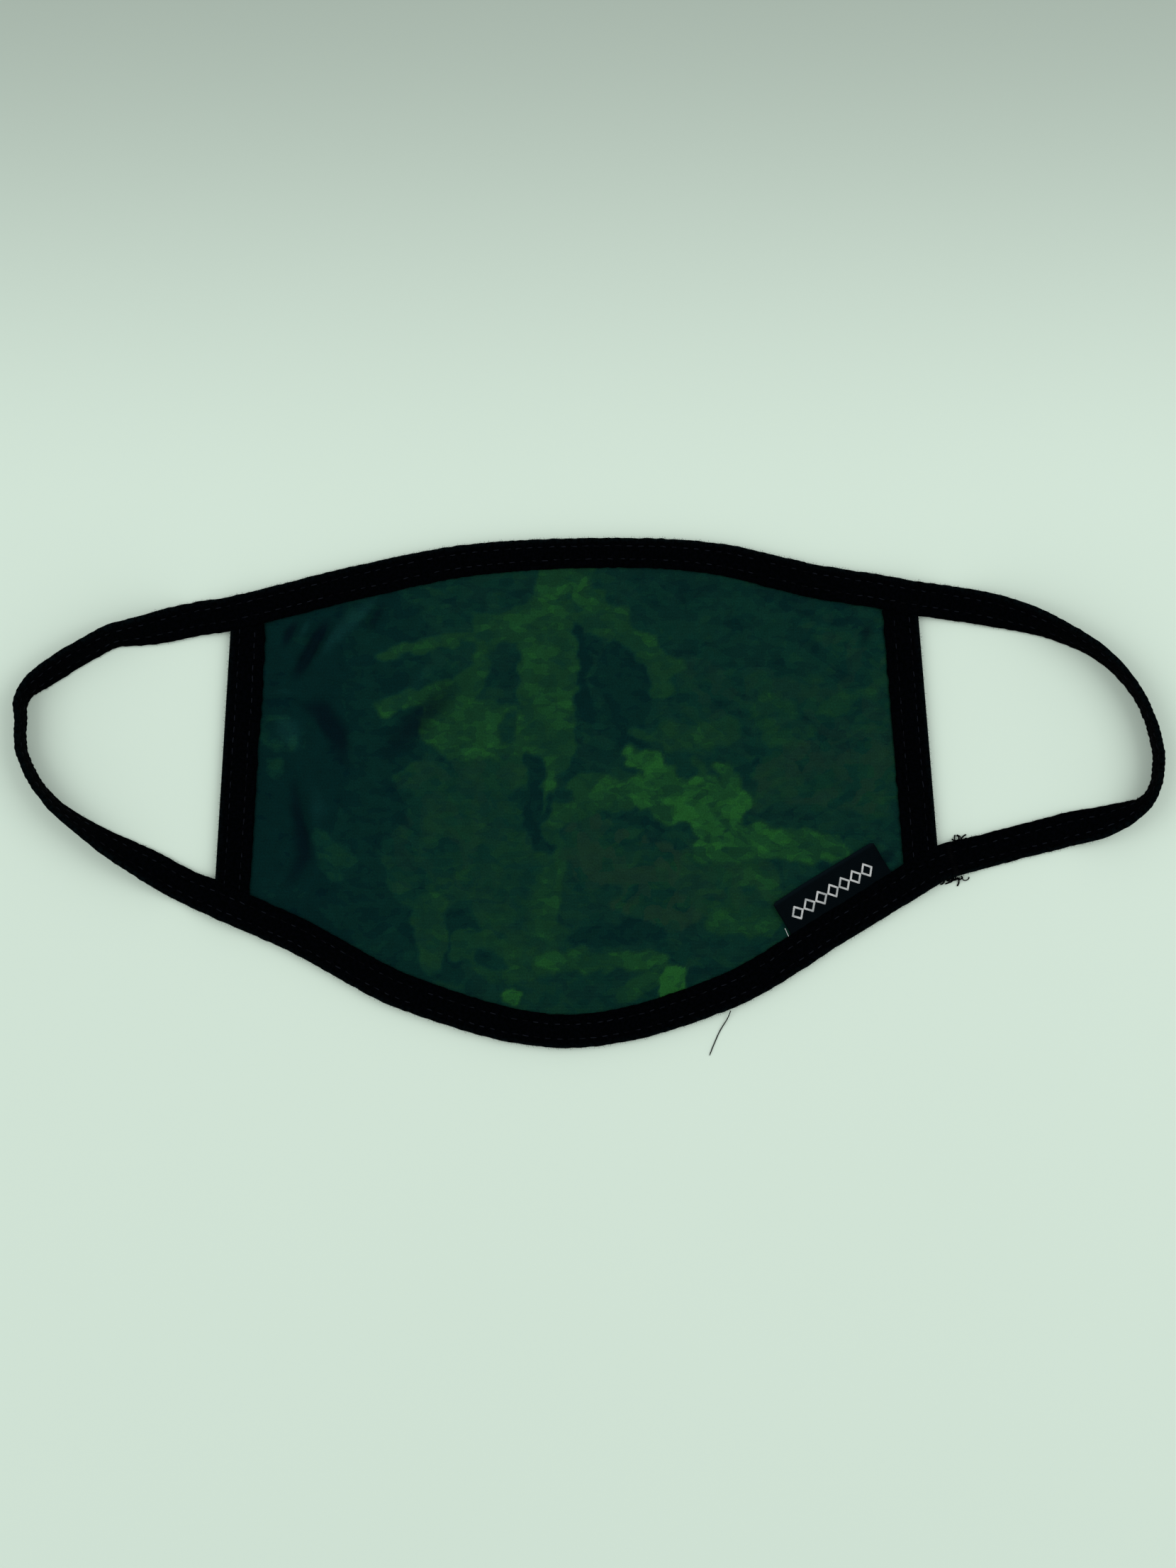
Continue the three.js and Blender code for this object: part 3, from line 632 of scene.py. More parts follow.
def side_stations(fold, top_y, bottom_y):
    """Sections of a side binding, its ends tucked under the perimeter tape."""
    normal = fold_normal(fold)
    count = int((top_y - bottom_y) / STATION_STEP)
    stations = []
    for i in range(count + 1):
        y = mix(top_y, bottom_y, i / count)
        gathered = smoothstep((y - 5) / 25) if fold is LEFT_FOLD else 0.3
        unevenness = noise.noise(Vector((y / 2.6, fold[0][0], 2.0)))
        width = SIDE_WIDTH + (0.2 + 0.7 * gathered) * unevenness
        centre = Vector((fold_x(fold, y), y)) - normal * (width / 2 + 0.1)
        run = (top_y - y) * math.hypot(1, normal.y / normal.x)
        thickness = BINDING_THICKNESS + 0.08 * noise.noise(Vector((y / 9, 1.0, 8.0)))
        stations.append(
            Station(centre, normal, 0, width, thickness, width - FOLD_BACK, run)
        )
    return stations


def station_at(stations, run):
    """The section at a distance along a run of tape."""
    first = stations[0].run
    step = (stations[-1].run - first) / (len(stations) - 1)
    place = min(max((run - first) / step, 0), len(stations) - 1.001)
    a, b = stations[int(place)], stations[int(place) + 1]
    t = place - int(place)
    sizes = [mix(getattr(a, k), getattr(b, k), t) for k in ("roll", "width", "thickness", "slot")]
    return Station(a.at.lerp(b.at, t), a.out.lerp(b.out, t).normalized(), *sizes, run)


def tape_piece(name, stations, material):
    shape = Shape()
    rings = [s.ring() for s in stations]
    weave = [[(s.run, v) for _, _, v in s.outline()] for s in stations]
    shape.sweep(rings, weave)
    return shape.piece(name, material)


def stitch_piece(name, stations, material, rng):
    """The two needle threads of a run of tape, as separate stitches on both faces."""
    shape = Shape()
    profile = [(-0.5, -0.14), (-0.36, 0.02), (0.0, 0.07), (0.36, 0.02), (0.5, -0.14)]
    first = math.ceil((stations[0].run + 1.2) / STITCH_PITCH)
    last = math.floor((stations[-1].run - 1.2) / STITCH_PITCH)
    for face in (1, -1):
        for row in STITCH_ROWS:
            for k in range(first, last + 1):
                middle = k * STITCH_PITCH + (0 if row < 0.5 else ROW_OFFSET) + rng.uniform(-0.15, 0.15)
                length = STITCH_LENGTH * rng.uniform(0.8, 1.12)
                skew = rng.uniform(-STITCH_SLANT, STITCH_SLANT)
                path = []
                for share, rise in profile:
                    s = station_at(stations, middle + share * length)
                    a = s.width / 2 - row * s.width + skew * share
                    b = s.thickness / 2 - GROOVE + (rise if face > 0 else rise * 0.5)
                    path.append(s.place(a, face * b))
                shape.tube(path, [0.07, 0.12, 0.14, 0.12, 0.07], 5)
    return shape.piece(name, material)


def fuzz_piece(name, stations, material, rng, density):
    """Loose fibres along both edges of a run of tape. density(station) is fibres per mm."""
    shape = Shape()
    for s in stations:
        wanted = density(s) * STATION_STEP
        for _ in range(int(wanted) + (rng.random() < wanted % 1)):
            outer = rng.random() < 0.7
            half = s.width / 2
            a = half - 0.04 if outer else -half + 0.06
            b = rng.uniform(-0.35, 0.45) * s.thickness if outer else s.thickness / 2 - 0.25
            out = (1 if outer else -1) * rng.uniform(0.15, 0.6)
            rise = rng.uniform(-0.12, 0.3)
            lean = Vector((-s.out.y, s.out.x, 0)) * rng.uniform(-0.5, 0.5)
            bends = ((0, 0), (out * 0.6, rise), (out, rise * 1.2))
            path = [s.place(a + da, b + db) + lean * k / 2 for k, (da, db) in enumerate(bends)]
            for p in path:
                p.z = max(p.z, 0.06)
            shape.tube(path, [0.035, 0.03, 0.015], 3)
    return shape.piece(name, material)


# ---- Cloth ----


def cloth_grid(columns, rows):
    """Drawing x and y of a grid over the cloth, from its left to its right edge."""

    def edge_x(table, share):
        left = fold_x(LEFT_FOLD, table[0][1]) + CLOTH_SIDE_INSET
        right = fold_x(RIGHT_FOLD, table[-1][1]) - CLOTH_SIDE_INSET
        return mix(left, right, share)

    grid_x, grid_y = np.empty((columns, rows)), np.empty((columns, rows))
    for c in range(columns):
        share = c / (columns - 1)
        top_x, bottom_x = edge_x(TOP_EDGE, share), edge_x(BOTTOM_EDGE, share)
        top = inside_edge(TOP_EDGE, top_x, 1, CLOTH_INSET)
        bottom = inside_edge(BOTTOM_EDGE, bottom_x, -1, CLOTH_INSET)
        t = np.linspace(0, 1, rows)
        grid_x[c] = mix(bottom.x, top.x, t)
        grid_y[c] = mix(bottom.y, top.y, t)
    return grid_x, grid_y


def cloth_piece(name, grid, height, thickness, material):
    """One leaf of cloth; grid is columns and rows, height(x, y) its upper face."""
    columns, rows = grid
    x, y = cloth_grid(columns, rows)
    z = height(x, y)
    points = np.column_stack([x.ravel(), y.ravel(), z.ravel()])
    faces = []
    for c in range(columns - 1):
        for r in range(rows - 1):
            a = c * rows + r
            faces.append((a, a + rows, a + rows + 1, a + 1))
    piece = make_piece(name, points, faces, material, points[:, :2], closed=False)
    solid = piece.modifiers.new("thickness", "SOLIDIFY")
    solid.thickness = thickness / 1000
    solid.offset = -1
    return piece, x, y


def lining_height(x, y):
    """Top of the lining: its own crown, kept under the outer cloth."""
    own = LINING_TOP + LINING_CROWN * cloth_crown(x, y) + 0.12 * noise_at(x, y, 15.0, 77.0)
    return np.clip(np.minimum(own, cloth_height(x, y) - LINING_GAP), 0.5, None)


def add_values(piece, name, values):
    layer = piece.data.attributes.new(name, "FLOAT", "POINT")
    layer.data.foreach_set("value", np.asarray(values, dtype=np.float32).ravel())


# ---- Label ----


def label_frame():
    """Function from (along, up) in millimetres to a drawing point on the cloth, and its length."""

    def seam(x):
        return inside_edge(BOTTOM_EDGE, x, -1, edge_value(BOTTOM_EDGE, x, 2) - LABEL_SEAM)

    start, end = seam(LABEL_FROM), seam(LABEL_TO)
    along = (end - start).normalized()
    up = Vector((-along.y, along.x))
    length = (end - start).length

    def spot(a, b):
        base = seam(mix(LABEL_FROM, LABEL_TO, a / length))
        return base + up * b

    return spot, length


def label_lift(a, b, length):
    """Height of the label's underside above the cloth: the free corners curl up a little."""
    corner = smoothstep((b / LABEL_DEPTH - 0.45) / 0.55)
    near_end = smoothstep(1 - min(a, length - a) / 7)
    return 0.12 + 0.55 * corner * near_end + 0.12 * math.sin(math.pi * a / length)


def label_puff(share):
    """Thickness of the folded label at a share of its depth: it bulges between its edges."""
    return LABEL_THICKNESS * (0.75 + 0.35 * math.sin(math.pi * share * 0.96))


def label_piece(material):
    spot, length = label_frame()
    depth = LABEL_DEPTH + LABEL_HEM
    columns, rows = 60, 20
    shape = Shape()
    rings, weave = [], []
    for c in range(columns + 1):
        a = length * c / columns
        end_round = 0.5 * (max(0, 1 - a / 0.9) ** 2 + max(0, 1 - (length - a) / 1.4) ** 2)
        upper, lower = [], []
        for r in range(rows + 1):
            b = depth * r / rows
            b -= end_round * 0.9 * smoothstep((b - depth + 2) / 2)
            p = spot(a, b)
            floor = float(cloth_height(p.x, p.y)) + label_lift(a, b, length)
            puff = label_puff(r / rows)
            rim = math.sqrt(max(0.0, 1 - max(0, (b - depth + 0.45) / 0.45) ** 2))
            middle = floor + puff / 2
            half = puff / 2 * (0.15 + 0.85 * rim)
            upper.append(((p.x, p.y, middle + half), (a, b)))
            lower.append(((p.x, p.y, middle - half), (a, -b)))
        loop = upper + lower[::-1]
        rings.append([Vector(p) for p, _ in loop])
        weave.append([w for _, w in loop])
    shape.sweep(rings, weave)
    return shape.piece("side_label_tab", material)


def label_motif(material):
    """A plain band of open diamonds woven into the label."""
    spot, length = label_frame()
    shape = Shape()
    count, first, last = 7, 2.6, 27.4
    centre, half_height, stroke = 4.5, 1.8, 0.28
    pitch = (last - first) / count

    def on_label(a, b):
        p = spot(a, b)
        floor = float(cloth_height(p.x, p.y)) + label_lift(a, b, length)
        return p, floor + label_puff(b / (LABEL_DEPTH + LABEL_HEM))

    def bar(start, end):
        direction = (end - start).normalized()
        side = Vector((-direction.y, direction.x)) * stroke
        rings, weave = [], []
        for i in range(7):
            middle = start.lerp(end, i / 6)
            ring = []
            for share, rise in ((-1, -0.05), (-0.8, 0.1), (0, 0.15), (0.8, 0.1), (1, -0.05)):
                a, b = middle + side * share
                p, z = on_label(a, b)
                ring.append(Vector((p.x, p.y, z + rise)))
            rings.append(ring)
            weave.append([(i * 0.3, share) for share in (-1, -0.8, 0, 0.8, 1)])
        shape.sweep(rings, weave)

    for k in range(count):
        left, right = first + k * pitch, first + (k + 1) * pitch
        middle = (left + right) / 2
        corners = [
            Vector((left + 0.25, centre)),
            Vector((middle, centre + half_height)),
            Vector((right - 0.25, centre)),
            Vector((middle, centre - half_height)),
        ]
        for start, end in zip(corners, corners[1:] + corners[:1]):
            reach = (end - start).normalized() * stroke * 0.7
            bar(start - reach, end + reach)
    return shape.piece("label_diamond_band", material)


# ---- Thread ends and bartack ----


def thread_piece(name, points, radius, material, count=28):
    shape = Shape()
    path = smooth_path(points, count)
    shape.tube(path, [radius] * (len(path) - 2) + [radius * 0.8, radius * 0.5], 7)
    return shape.piece(name, material)


def tangle_piece(name, root, spread, count, material, rng):
    """A clump of short curled thread ends lying beside the tape."""
    shape = Shape()
    for _ in range(count):
        x = root[0] + rng.uniform(-spread[0], spread[0])
        points = [Vector((x, root[1], 1.2 + rng.uniform(-0.3, 0.6)))]
        heading = math.copysign(math.pi / 2, spread[1]) + rng.uniform(-0.7, 0.7)
        curl = rng.choice((-1, 1)) * rng.uniform(0.35, 1.1)
        for _ in range(rng.randint(3, 5)):
            step = rng.uniform(0.4, 0.75)
            last = points[-1]
            z = max(0.16, last.z - rng.uniform(0.05, 0.5))
            away = Vector((math.cos(heading), math.sin(heading), 0)) * step
            points.append(Vector((last.x + away.x, last.y + away.y, z)))
            heading += curl + rng.uniform(-0.4, 0.4)
        path = smooth_path(points, 22)
        radius = rng.uniform(0.15, 0.24)
        shape.tube(path, [radius] * (len(path) - 1) + [radius * 0.6], 6)
    return shape.piece(name, material)


def bartack_piece(name, station, material):
    """Dense zigzag across the tape that holds its two lapped ends."""
    shape = Shape()
    along = Vector((station.out.y, -station.out.x, 0))
    path = []
    for i in range(TACK_TURNS + 1):
        a = mix(-TACK_REACH, TACK_REACH, i / TACK_TURNS)
        side = TACK_WIDTH if i % 2 else -TACK_WIDTH
        path.append(station.place(a, station.thickness / 2 + 0.24) + along * side)
    for a, b in zip(path, path[1:]):
        middle = a.lerp(b, 0.5) + Vector((0, 0, 0.07))
        sunk = Vector((0, 0, 0.16))
        shape.tube([a - sunk, middle, b - sunk], [0.14, 0.17, 0.14], 5)
    return shape.piece(name, material)


# ---- Materials ----


class Graph:
    """One material's nodes."""

    def __init__(self, name, roughness, specular, sheen=0.0, sheen_tint=(1, 1, 1, 1)):
        self.material = bpy.data.materials.new(name)
        self.material.use_nodes = True
        self.tree = self.material.node_tree
        self.shader = self.tree.nodes["Principled BSDF"]
        self.set(self.shader, {"Roughness": roughness, "Specular IOR Level": specular})
        self.set(self.shader, {"Sheen Weight": sheen, "Sheen Tint": sheen_tint})
        self.set(self.shader, {"Sheen Roughness": 0.4})

    def set(self, node, inputs):
        for key, value in inputs.items():
            if isinstance(value, bpy.types.NodeSocket):
                self.tree.links.new(value, node.inputs[key])
            else:
                node.inputs[key].default_value = value
        return node

    def add(self, kind, inputs=None, **settings):
        node = self.tree.nodes.new(kind)
        for key, value in settings.items():
            setattr(node, key, value)
        return self.set(node, inputs or {})

    def math(self, operation, a, b=0.0, c=0.0):
        return self.add("ShaderNodeMath", {0: a, 1: b, 2: c}, operation=operation).outputs[0]

    def times(self, a, b):
        return self.math("MULTIPLY", a, b)

    def scaled(self, value, by, plus):
        return self.math("MULTIPLY_ADD", value, by, plus)

    def vector(self, operation, a, b, socket=1):
        """One step of vector arithmetic."""
        inputs = {0: a, socket: b}
        return self.add("ShaderNodeVectorMath", inputs, operation=operation).outputs[0]

    def shaded(self, colour, value):
        return self.mix(1.0, colour, value, "MULTIPLY")

    def attribute(self, name):
        return self.add("ShaderNodeAttribute", attribute_name=name).outputs["Fac"]

    def ramp(self, value, low, high):
        """0 at low, 1 at high, smooth between."""
        settings = {"interpolation_type": "SMOOTHSTEP"}
        inputs = {"Value": value, "From Min": low, "From Max": high}
        return self.add("ShaderNodeMapRange", inputs, **settings).outputs["Result"]

    def mix(self, share, a, b, blend="MIX"):
        node = self.add("ShaderNodeMix", {0: share, 6: a, 7: b}, data_type="RGBA", blend_type=blend)
        return node.outputs[2]

    def weave(self):
        """The point's place in the cloth or along the tape, in millimetres."""
        return self.add("ShaderNodeUVMap", uv_map="weave").outputs["UV"]

    def axes(self, vector):
        node = self.add("ShaderNodeSeparateXYZ", {"Vector": vector})
        return node.outputs["X"], node.outputs["Y"]

    def noise(self, vector, size, detail=2.0, output="Fac"):
        inputs = {"Vector": vector, "Scale": 1 / size, "Detail": detail}
        return self.add("ShaderNodeTexNoise", inputs).outputs[output]

    def cells(self, vector, size, wide=1.0):
        """A random number for each patch of a pattern of squarish patches."""
        squeezed = self.vector("MULTIPLY", vector, (1 / wide, 1, 1))
        settings = {"voronoi_dimensions": "2D", "distance": "CHEBYCHEV"}
        inputs = {"Vector": squeezed, "Scale": 1 / size}
        colour = self.add("ShaderNodeTexVoronoi", inputs, **settings).outputs["Color"]
        return self.add("ShaderNodeSeparateColor", {"Color": colour}).outputs[0]

    def wave(self, value, pitch):
        """0 to 1 wave with the given pitch."""
        turns = self.times(value, 2 * math.pi / pitch)
        return self.scaled(self.math("SINE", turns), 0.5, 0.5)

    def finish(self, colour, height, depth, strength=1.0, roughness=None):
        """Sets the colour, and bump whose full height is depth millimetres."""
        self.set(self.shader, {"Base Color": colour})
        inputs = {"Height": height, "Distance": depth / 1000, "Strength": strength}
        bump = self.add("ShaderNodeBump", inputs)
        self.set(self.shader, {"Normal": bump.outputs["Normal"]})
        if roughness is not None:
            self.set(self.shader, {"Roughness": roughness})
        return self.material


def knit_height(graph, weave, rib, stitch):
    """Knit courses across the cloth, each broken into small loops."""
    u, v = graph.axes(weave)
    shift = graph.times(graph.noise(weave, 5.0), 0.25)
    courses = graph.wave(graph.math("ADD", v, shift), rib)
    loops = graph.wave(graph.scaled(v, 0.5, u), stitch)
    return graph.times(courses, graph.scaled(loops, 0.45, 0.55))


def camo_material():
    graph = Graph("camo_knit_printed", 0.7, 0.025)
    weave = graph.weave()
    tone = graph.attribute("tone")
    olive = graph.attribute("olive")

    def pushed(vector, size, amount):
        colour = graph.noise(vector, size, 3.0, "Color")
        centred = graph.vector("SUBTRACT", colour, (0.5, 0.5, 0.5))
        scaled = graph.vector("SCALE", centred, amount, "Scale")
        return graph.vector("ADD", vector, scaled)

    # The print breaks up into fragments, less so in its dark areas.
    ragged = pushed(pushed(weave, 7.0, 2.6), 1.0, 0.4)
    fragments = graph.math("SUBTRACT", graph.noise(ragged, 9.0, 2.0), 0.5)
    for size, wide, amount in ((6.5, 1.3, 0.55), (3.1, 1.5, 0.7), (1.7, 1.7, 0.7)):
        patch = graph.math("SUBTRACT", graph.cells(ragged, size, wide), 0.5)
        fragments = graph.scaled(patch, amount, fragments)
    liveliness = graph.scaled(graph.ramp(tone, 0.12, 0.34), 0.16, 0.07)
    level = graph.scaled(fragments, liveliness, tone)
    stops = []
    for i in range(PRINT_STEPS):
        share = i / (PRINT_STEPS - 1)
        place = min(share * (len(PRINT_COLOURS) - 1), len(PRINT_COLOURS) - 1.001)
        low, high = PRINT_COLOURS[int(place)], PRINT_COLOURS[int(place) + 1]
        shade = [mix(a, b, place % 1) for a, b in zip(low, high)]
        stops.append((PRINT_TOP * share, srgb(*shade)))
    colours = []
    for interpolation in ("CONSTANT", "LINEAR"):
        node = graph.add("ShaderNodeValToRGB", {"Fac": level})
        ramp = node.color_ramp
        ramp.interpolation = interpolation
        for i, (place, colour) in enumerate(stops):
            stop = ramp.elements[i] if i < 2 else ramp.elements.new(place)
            stop.position, stop.color = place, colour
        colours.append(node.outputs["Color"])
    colour = graph.mix(0.2, *colours)
    olive_patch = graph.ramp(graph.cells(ragged, 3.4), 0.25, 0.75)
    olive_share = graph.times(graph.times(olive, olive_patch), 0.6)
    colour = graph.mix(olive_share, colour, srgb(23, 47, 35))
    # Painted shade darkens the cloth in the valleys of the folds, and a painted highlight lightens the
    # tops of the folds.
    painted_fold_shading = graph.attribute("painted_fold_shading")
    painted_valley_shade = graph.ramp(graph.times(painted_fold_shading, -1.0), 0.06, 1.0)
    colour = graph.mix(graph.times(painted_valley_shade, 0.75), colour, srgb(1, 13, 22))
    painted_ridge_highlight = graph.ramp(painted_fold_shading, 0.1, 1.0)
    colour = graph.mix(graph.times(painted_ridge_highlight, 0.3), colour, srgb(17, 58, 56))
    wash = graph.scaled(graph.noise(weave, 3.0, 4.0), 0.5, 0.75)
    grain = graph.scaled(graph.noise(weave, 0.4, 2.0), 0.9, 0.55)
    height = knit_height(graph, weave, 0.38, 0.42)
    # Random tone from the wash and grain, times painted shade in the hollows of the knit.
    shade = graph.times(wash, grain)
    shade = graph.times(shade, graph.scaled(height, 0.3, 0.88))
    colour = graph.shaded(colour, shade)
    rough = graph.scaled(graph.noise(weave, 1.5), 0.16, 0.7)
    return graph.finish(colour, height, 0.09, roughness=rough)


def lining_material():
    graph = Graph("lining_knit_jersey", 0.85, 0.06, sheen=0.03)
    weave = graph.weave()
    u, v = graph.axes(weave)
    chevron = graph.math("ABSOLUTE", graph.math("SUBTRACT", graph.wave(u, 0.7), 0.5))
    height = graph.wave(graph.scaled(chevron, 0.6, v), 0.5)
    columns = graph.wave(u, 0.7)
    height = graph.times(height, graph.scaled(columns, 0.6, 0.4))
    tint = graph.mix(graph.noise(weave, 8.0, 3.0), srgb(20, 22, 25), srgb(32, 34, 37))
    shade = graph.scaled(height, 0.5, 0.6)
    colour = graph.shaded(tint, shade)
    return graph.finish(colour, height, 0.12)


def tape_material():
    graph = Graph("binding_tape_knit", 0.9, 0.008)
    weave = graph.weave()
    u, v = graph.axes(weave)
    shift = graph.times(graph.noise(weave, 1.2, 2.0), 0.3)
    ribs = graph.wave(graph.math("ADD", u, shift), 0.36)
    loops = graph.wave(v, 0.5)
    height = graph.times(ribs, graph.scaled(loops, 0.4, 0.6))
    # Painted highlight: the tape is lighter along its outer fold, in mottled patches, as if the curve
    # of the fold caught the light.
    from_fold = graph.math("ABSOLUTE", v)
    at_fold = graph.ramp(from_fold, 1.7, 0.1)
    mottled = graph.noise(weave, 0.9, 3.0)
    painted_fold_edge_highlight = graph.times(at_fold, graph.ramp(mottled, 0.32, 0.7))
    body = graph.mix(graph.ramp(mottled, 0.3, 0.75), srgb(0, 1, 1), srgb(2, 3, 6))
    colour = graph.mix(painted_fold_edge_highlight, body, srgb(5, 13, 15))
    lint = graph.ramp(graph.noise(weave, 0.35, 1.0), 0.79, 0.86)
    colour = graph.mix(lint, colour, srgb(26, 30, 34))
    shade = graph.scaled(height, 0.8, 0.55)
    colour = graph.shaded(colour, shade)
    fuzz = graph.scaled(graph.noise(weave, 0.3, 2.0), 0.5, height)
    return graph.finish(colour, fuzz, 0.11)


def thread_material(name, dark, light, roughness=0.6, specular=0.12):
    """Twisted sewing thread: slanting plies, each stitch a little different."""
    graph = Graph(name, roughness, specular)
    weave = graph.weave()
    u, v = graph.axes(weave)
    plies = graph.wave(graph.scaled(u, 2.2, v), 0.5)
    rest = graph.add("ShaderNodeTexCoord").outputs["Object"]
    each = graph.noise(rest, 0.0021, 1.0)
    tint = graph.mix(graph.ramp(each, 0.35, 0.65), dark, light)
    colour = graph.shaded(tint, graph.scaled(plies, 0.5, 0.7))
    return graph.finish(colour, plies, 0.05)


def label_material():
    graph = Graph("woven_label_satin", 0.62, 0.02)
    weave = graph.weave()
    u, v = graph.axes(weave)
    warp = graph.wave(u, 0.22)
    weft = graph.wave(graph.scaled(u, 0.5, v), 0.3)
    height = graph.scaled(warp, 0.4, graph.times(weft, 0.6))
    tint = graph.mix(graph.noise(weave, 2.2, 3.0), srgb(0, 4, 7), srgb(1, 8, 12))
    at_rim = graph.ramp(graph.math("ABSOLUTE", v), LABEL_DEPTH - 0.3, LABEL_DEPTH + 0.8)
    tint = graph.mix(graph.times(at_rim, 0.5), tint, srgb(10, 22, 28))
    colour = graph.shaded(tint, graph.scaled(height, 0.7, 0.6))
    return graph.finish(colour, height, 0.06)


def floor_material():
    graph = Graph("pale_table", 0.55, 0.15)
    place = graph.add("ShaderNodeTexCoord").outputs["Object"]
    mottle = graph.noise(place, 0.12, 2.0)
    colour = graph.mix(mottle, (0.64, 0.775, 0.672, 1), (0.655, 0.79, 0.688, 1))
    # Painted shade: the table grows darker towards +y between 7 and 25 cm out, as if less light
    # reached it there.
    _, away = graph.axes(place)
    painted_falloff_shade = graph.scaled(graph.ramp(away, 0.07, 0.25), -0.46, 1.0)
    colour = graph.shaded(colour, painted_falloff_shade)
    fine = graph.noise(place, 0.0012, 2.0)
    return graph.finish(colour, fine, 0.02, strength=0.3)


camo = camo_material()
lining_knit = lining_material()
tape = tape_material()
sewing_thread = thread_material("sewing_thread_grey", srgb(3, 4, 7), srgb(22, 25, 32), 0.6, 0.03)
fuzz_fibre = thread_material("tape_fibre", srgb(3, 6, 7), srgb(14, 22, 23), 0.9, 0.01)
dark_thread = thread_material("loose_thread_dark", srgb(1, 2, 3), srgb(5, 6, 7), 0.85, 0.01)
pale_thread = thread_material("pale_thread_off_white", srgb(172, 178, 178), srgb(206, 210, 209))
label_cloth = label_material()

# ---- Cloth pieces ----

CENTRE_BLEND = [to_frame((-CENTRE_SPREAD, 0, 5)), to_frame((CENTRE_SPREAD, 0, 5))]

outer, outer_x, outer_y = cloth_piece("outer_panel_cloth", OUTER_GRID, cloth_height, OUTER_LEAF, camo)
tones, olives = print_tone(outer_x, outer_y)
add_values(outer, "tone", tones)
add_values(outer, "olive", olives)
# Fold heights, for the painted shade in fold valleys and the painted highlight on fold tops.
add_values(outer, "painted_fold_shading", np.clip(cloth_folds(outer_x, outer_y) / 1.5, -1, 1))
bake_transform(outer)
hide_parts("outer_panel_left", "outer_panel_right")

lining, _, _ = cloth_piece("lining_cloth", LINING_GRID, lining_height, LINING_LEAF, lining_knit)
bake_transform(lining)
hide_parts("lining_left", "lining_right")

# ---- Tape, stitches and fibres ----

perimeter = perimeter_stations()


def split_index(x, top):
    """Index of the perimeter section nearest to x on the top or bottom edge."""
    on_edge = [i for i, s in enumerate(perimeter[:-1]) if (s.at.y > 0) == top and s.roll < 1]
    return min(on_edge, key=lambda i: abs(perimeter[i].at.x - x))


top_right, bottom_right = split_index(SPLIT_X, True), split_index(SPLIT_X, False)
bottom_left = split_index(-SPLIT_X, False)


def loop_blend(fold):
    middle = (Vector(fold[0]) + Vector(fold[1])) / 2
    far = middle + fold_normal(fold) * FOLD_SPREAD
    return to_frame((*middle, 2.7)), to_frame((*far, 2.7))


def frayed(station):
    """Fibres per millimetre."""
    return 1.6 + 4.0 * tip_share(station.at.x)


def sides_of(place):
    return [f"{place}_left", f"{place}_right"]


def threads_of(place, hands=("left", "right")):
    return [f"{place}_thread_{row}_{hand}" for hand in hands for row in ("outer", "inner")]


across_centre = ("left_half", "right_half", *CENTRE_BLEND)
right_loop_motion = ("right_half", "right_loop", *loop_blend(RIGHT_FOLD))
left_loop_motion = ("left_half", "left_loop", *loop_blend(LEFT_FOLD))
top_run = perimeter[: top_right + 1]
right_run = perimeter[top_right : bottom_right + 1]
bottom_run = perimeter[bottom_right : bottom_left + 1]
left_run = perimeter[bottom_left:]
left_side_run = side_stations(LEFT_FOLD, *LEFT_SIDE_ENDS)
right_side_run = side_stations(RIGHT_FOLD, *RIGHT_SIDE_ENDS)
# name, sections, how it moves, tape nodes, thread nodes. Only where how it moves names a single body
# are the pieces attached to it; the others are left unattached.
RUNS = [
    ("top_middle", top_run, across_centre, sides_of("top_binding"), threads_of("top")),
    ("right_loop", right_run, right_loop_motion, ["ear_loop_right"], threads_of("loop", ["right"])),
    ("bottom_middle", bottom_run, across_centre, sides_of("bottom_binding"), threads_of("bottom")),
    ("left_loop", left_run, left_loop_motion, ["ear_loop_left"], threads_of("loop", ["left"])),
    *(
        (f"{hand}_side", run, [f"{hand}_half"], [f"side_binding_{hand}"], threads_of("side", [hand]))
        for hand, run in (("left", left_side_run), ("right", right_side_run))
    ),
]

for number, (name, stations, motion, tape_nodes, thread_nodes) in enumerate(RUNS):
    rng = random.Random(100 + number)
    tape_run = tape_piece(f"{name}_tape", stations, tape)
    stitches = stitch_piece(f"{name}_stitches", stations, sewing_thread, rng)
    fibres = fuzz_piece(f"{name}_fibres", stations, fuzz_fibre, rng, frayed)
    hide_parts(*tape_nodes)
    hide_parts(*thread_nodes)
    for piece in (tape_run, stitches, fibres):
        if len(motion) == 1:
            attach(piece, *motion)
        else:
            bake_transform(piece)

# ---- Label, bartack, thread ends ----


def register(piece, slot, body, *nodes):
    """Hides the CAD nodes that a piece stands for and attaches the piece to the body it rides on. slot
    is not used.
    """
    if nodes:
        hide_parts(*nodes)
    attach(piece, body)


label = label_piece(label_cloth)
motif = label_motif(pale_thread)
register(label, "woven_label", "label", "side_label")
register(motif, "pale_thread", "label")

LOOSE_THREAD = [
    (37.4, -57.7, 1.3), (36.6, -59.8, 0.6), (34.6, -63.2, 0.2), (33, -66.8, 0.16),
    (31.9, -69.6, 0.16),
]
loose = thread_piece("loose_thread_tail", LOOSE_THREAD, 0.14, dark_thread)
register(loose, "sewing_thread", "right_half", "loose_thread")

SNAG = [(51.6, -35.8, 2.8), (51.9, -36.5, 2.86), (52.2, -37.2, 2.84), (52.6, -38, 2.74)]
snag = thread_piece("label_thread_end", SNAG, 0.075, pale_thread)
register(snag, "pale_thread", "right_half", "label_thread")

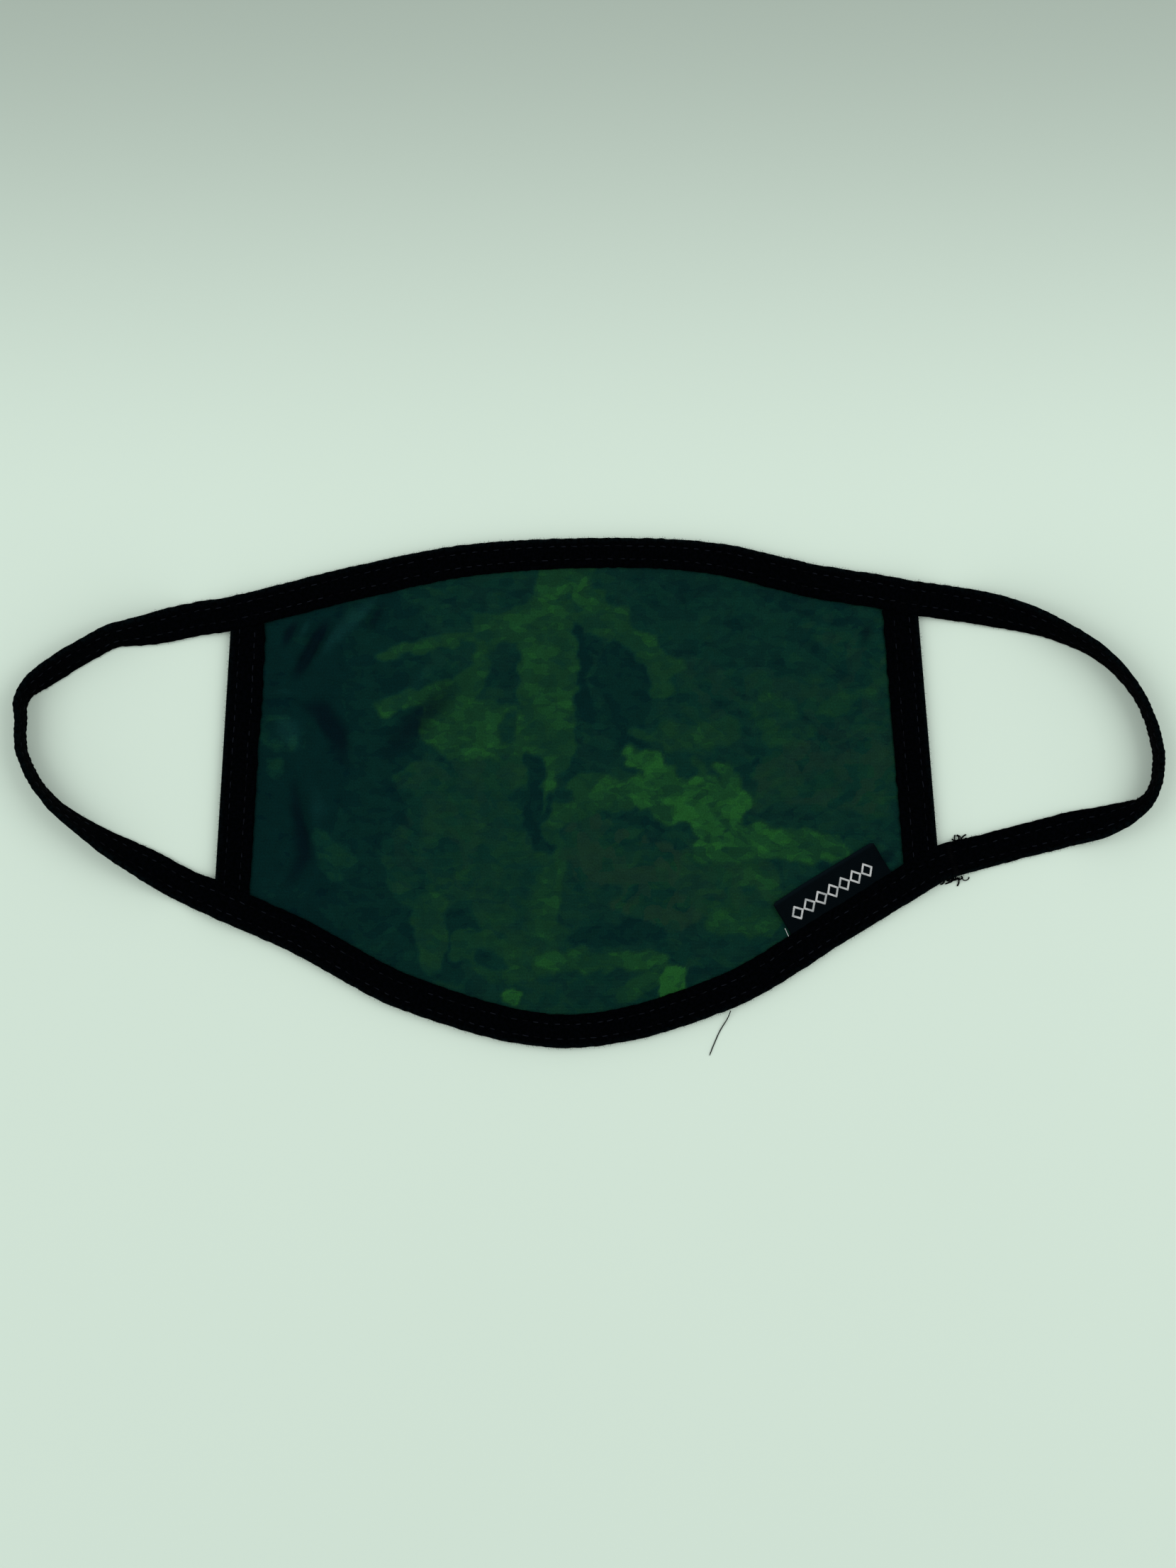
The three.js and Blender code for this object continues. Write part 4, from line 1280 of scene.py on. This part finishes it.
bar_station = min(
    (s for s in perimeter if s.at.y < 0 and s.at.x > 90 and s.roll < 1),
    key=lambda s: abs(beyond_fold(RIGHT_FOLD, s.at.x, s.at.y) - TACK_PLACE),
)
bartack = bartack_piece("loop_bartack_zigzag", bar_station, dark_thread)
register(bartack, "sewing_thread", "right_loop", "loop_bartack")
TAILS = [
    # side of the tape, root, spread, count, seed
    ("upper", (97.8, -13.4), (1.6, 1.2), 9, 7),
    ("lower", (95.8, -22.6), (3.0, -1.4), 12, 11),
]
for place, root, spread, count, seed in TAILS:
    name = f"tack_tails_{place}"
    tails = tangle_piece(name, root, spread, count, dark_thread, random.Random(seed))
    register(tails, "sewing_thread", "right_loop", f"tack_thread_{place}")

# ---- Table, light and camera ----

bpy.ops.mesh.primitive_plane_add(size=12, location=(0, 0, -0.00005))
floor = bpy.context.object
floor.name = "table_top"
floor.data.materials.append(floor_material())

world = bpy.data.worlds.new("soft_room")
world.use_nodes = True
background = world.node_tree.nodes["Background"]
background.inputs["Color"].default_value = (1, 1, 1, 1)
background.inputs["Strength"].default_value = 0.62
bpy.context.scene.world = world


def area_light(name, location, size, power):
    """A square soft light facing the middle of the mask."""
    data = bpy.data.lights.new(name, "AREA")
    data.size, data.energy = size, power
    light = bpy.data.objects.new(name, data)
    light.location = location
    light.rotation_euler = (-Vector(location)).to_track_quat("-Z", "Y").to_euler()
    light.visible_camera = False
    bpy.context.scene.collection.objects.link(light)


area_light("right_window", (0.95, 0.3, 1.1), 1.0, 7.0)
area_light("left_window", (-0.95, 0.1, 1.1), 1.0, 5.2)

VIEW_LENGTH = 0.4142  # metres of table along the picture's long side
CAMERA_PLACE = (-0.000285, 0.00344, 0.6)
SENSOR = 36
camera_data = bpy.data.cameras.new("overhead")
camera_data.sensor_width = SENSOR
camera_data.lens = SENSOR * CAMERA_PLACE[2] / VIEW_LENGTH
camera = bpy.data.objects.new("overhead", camera_data)
camera.location = CAMERA_PLACE
bpy.context.scene.collection.objects.link(camera)
bpy.context.scene.camera = camera
bpy.context.scene.view_settings.view_transform = "Standard"
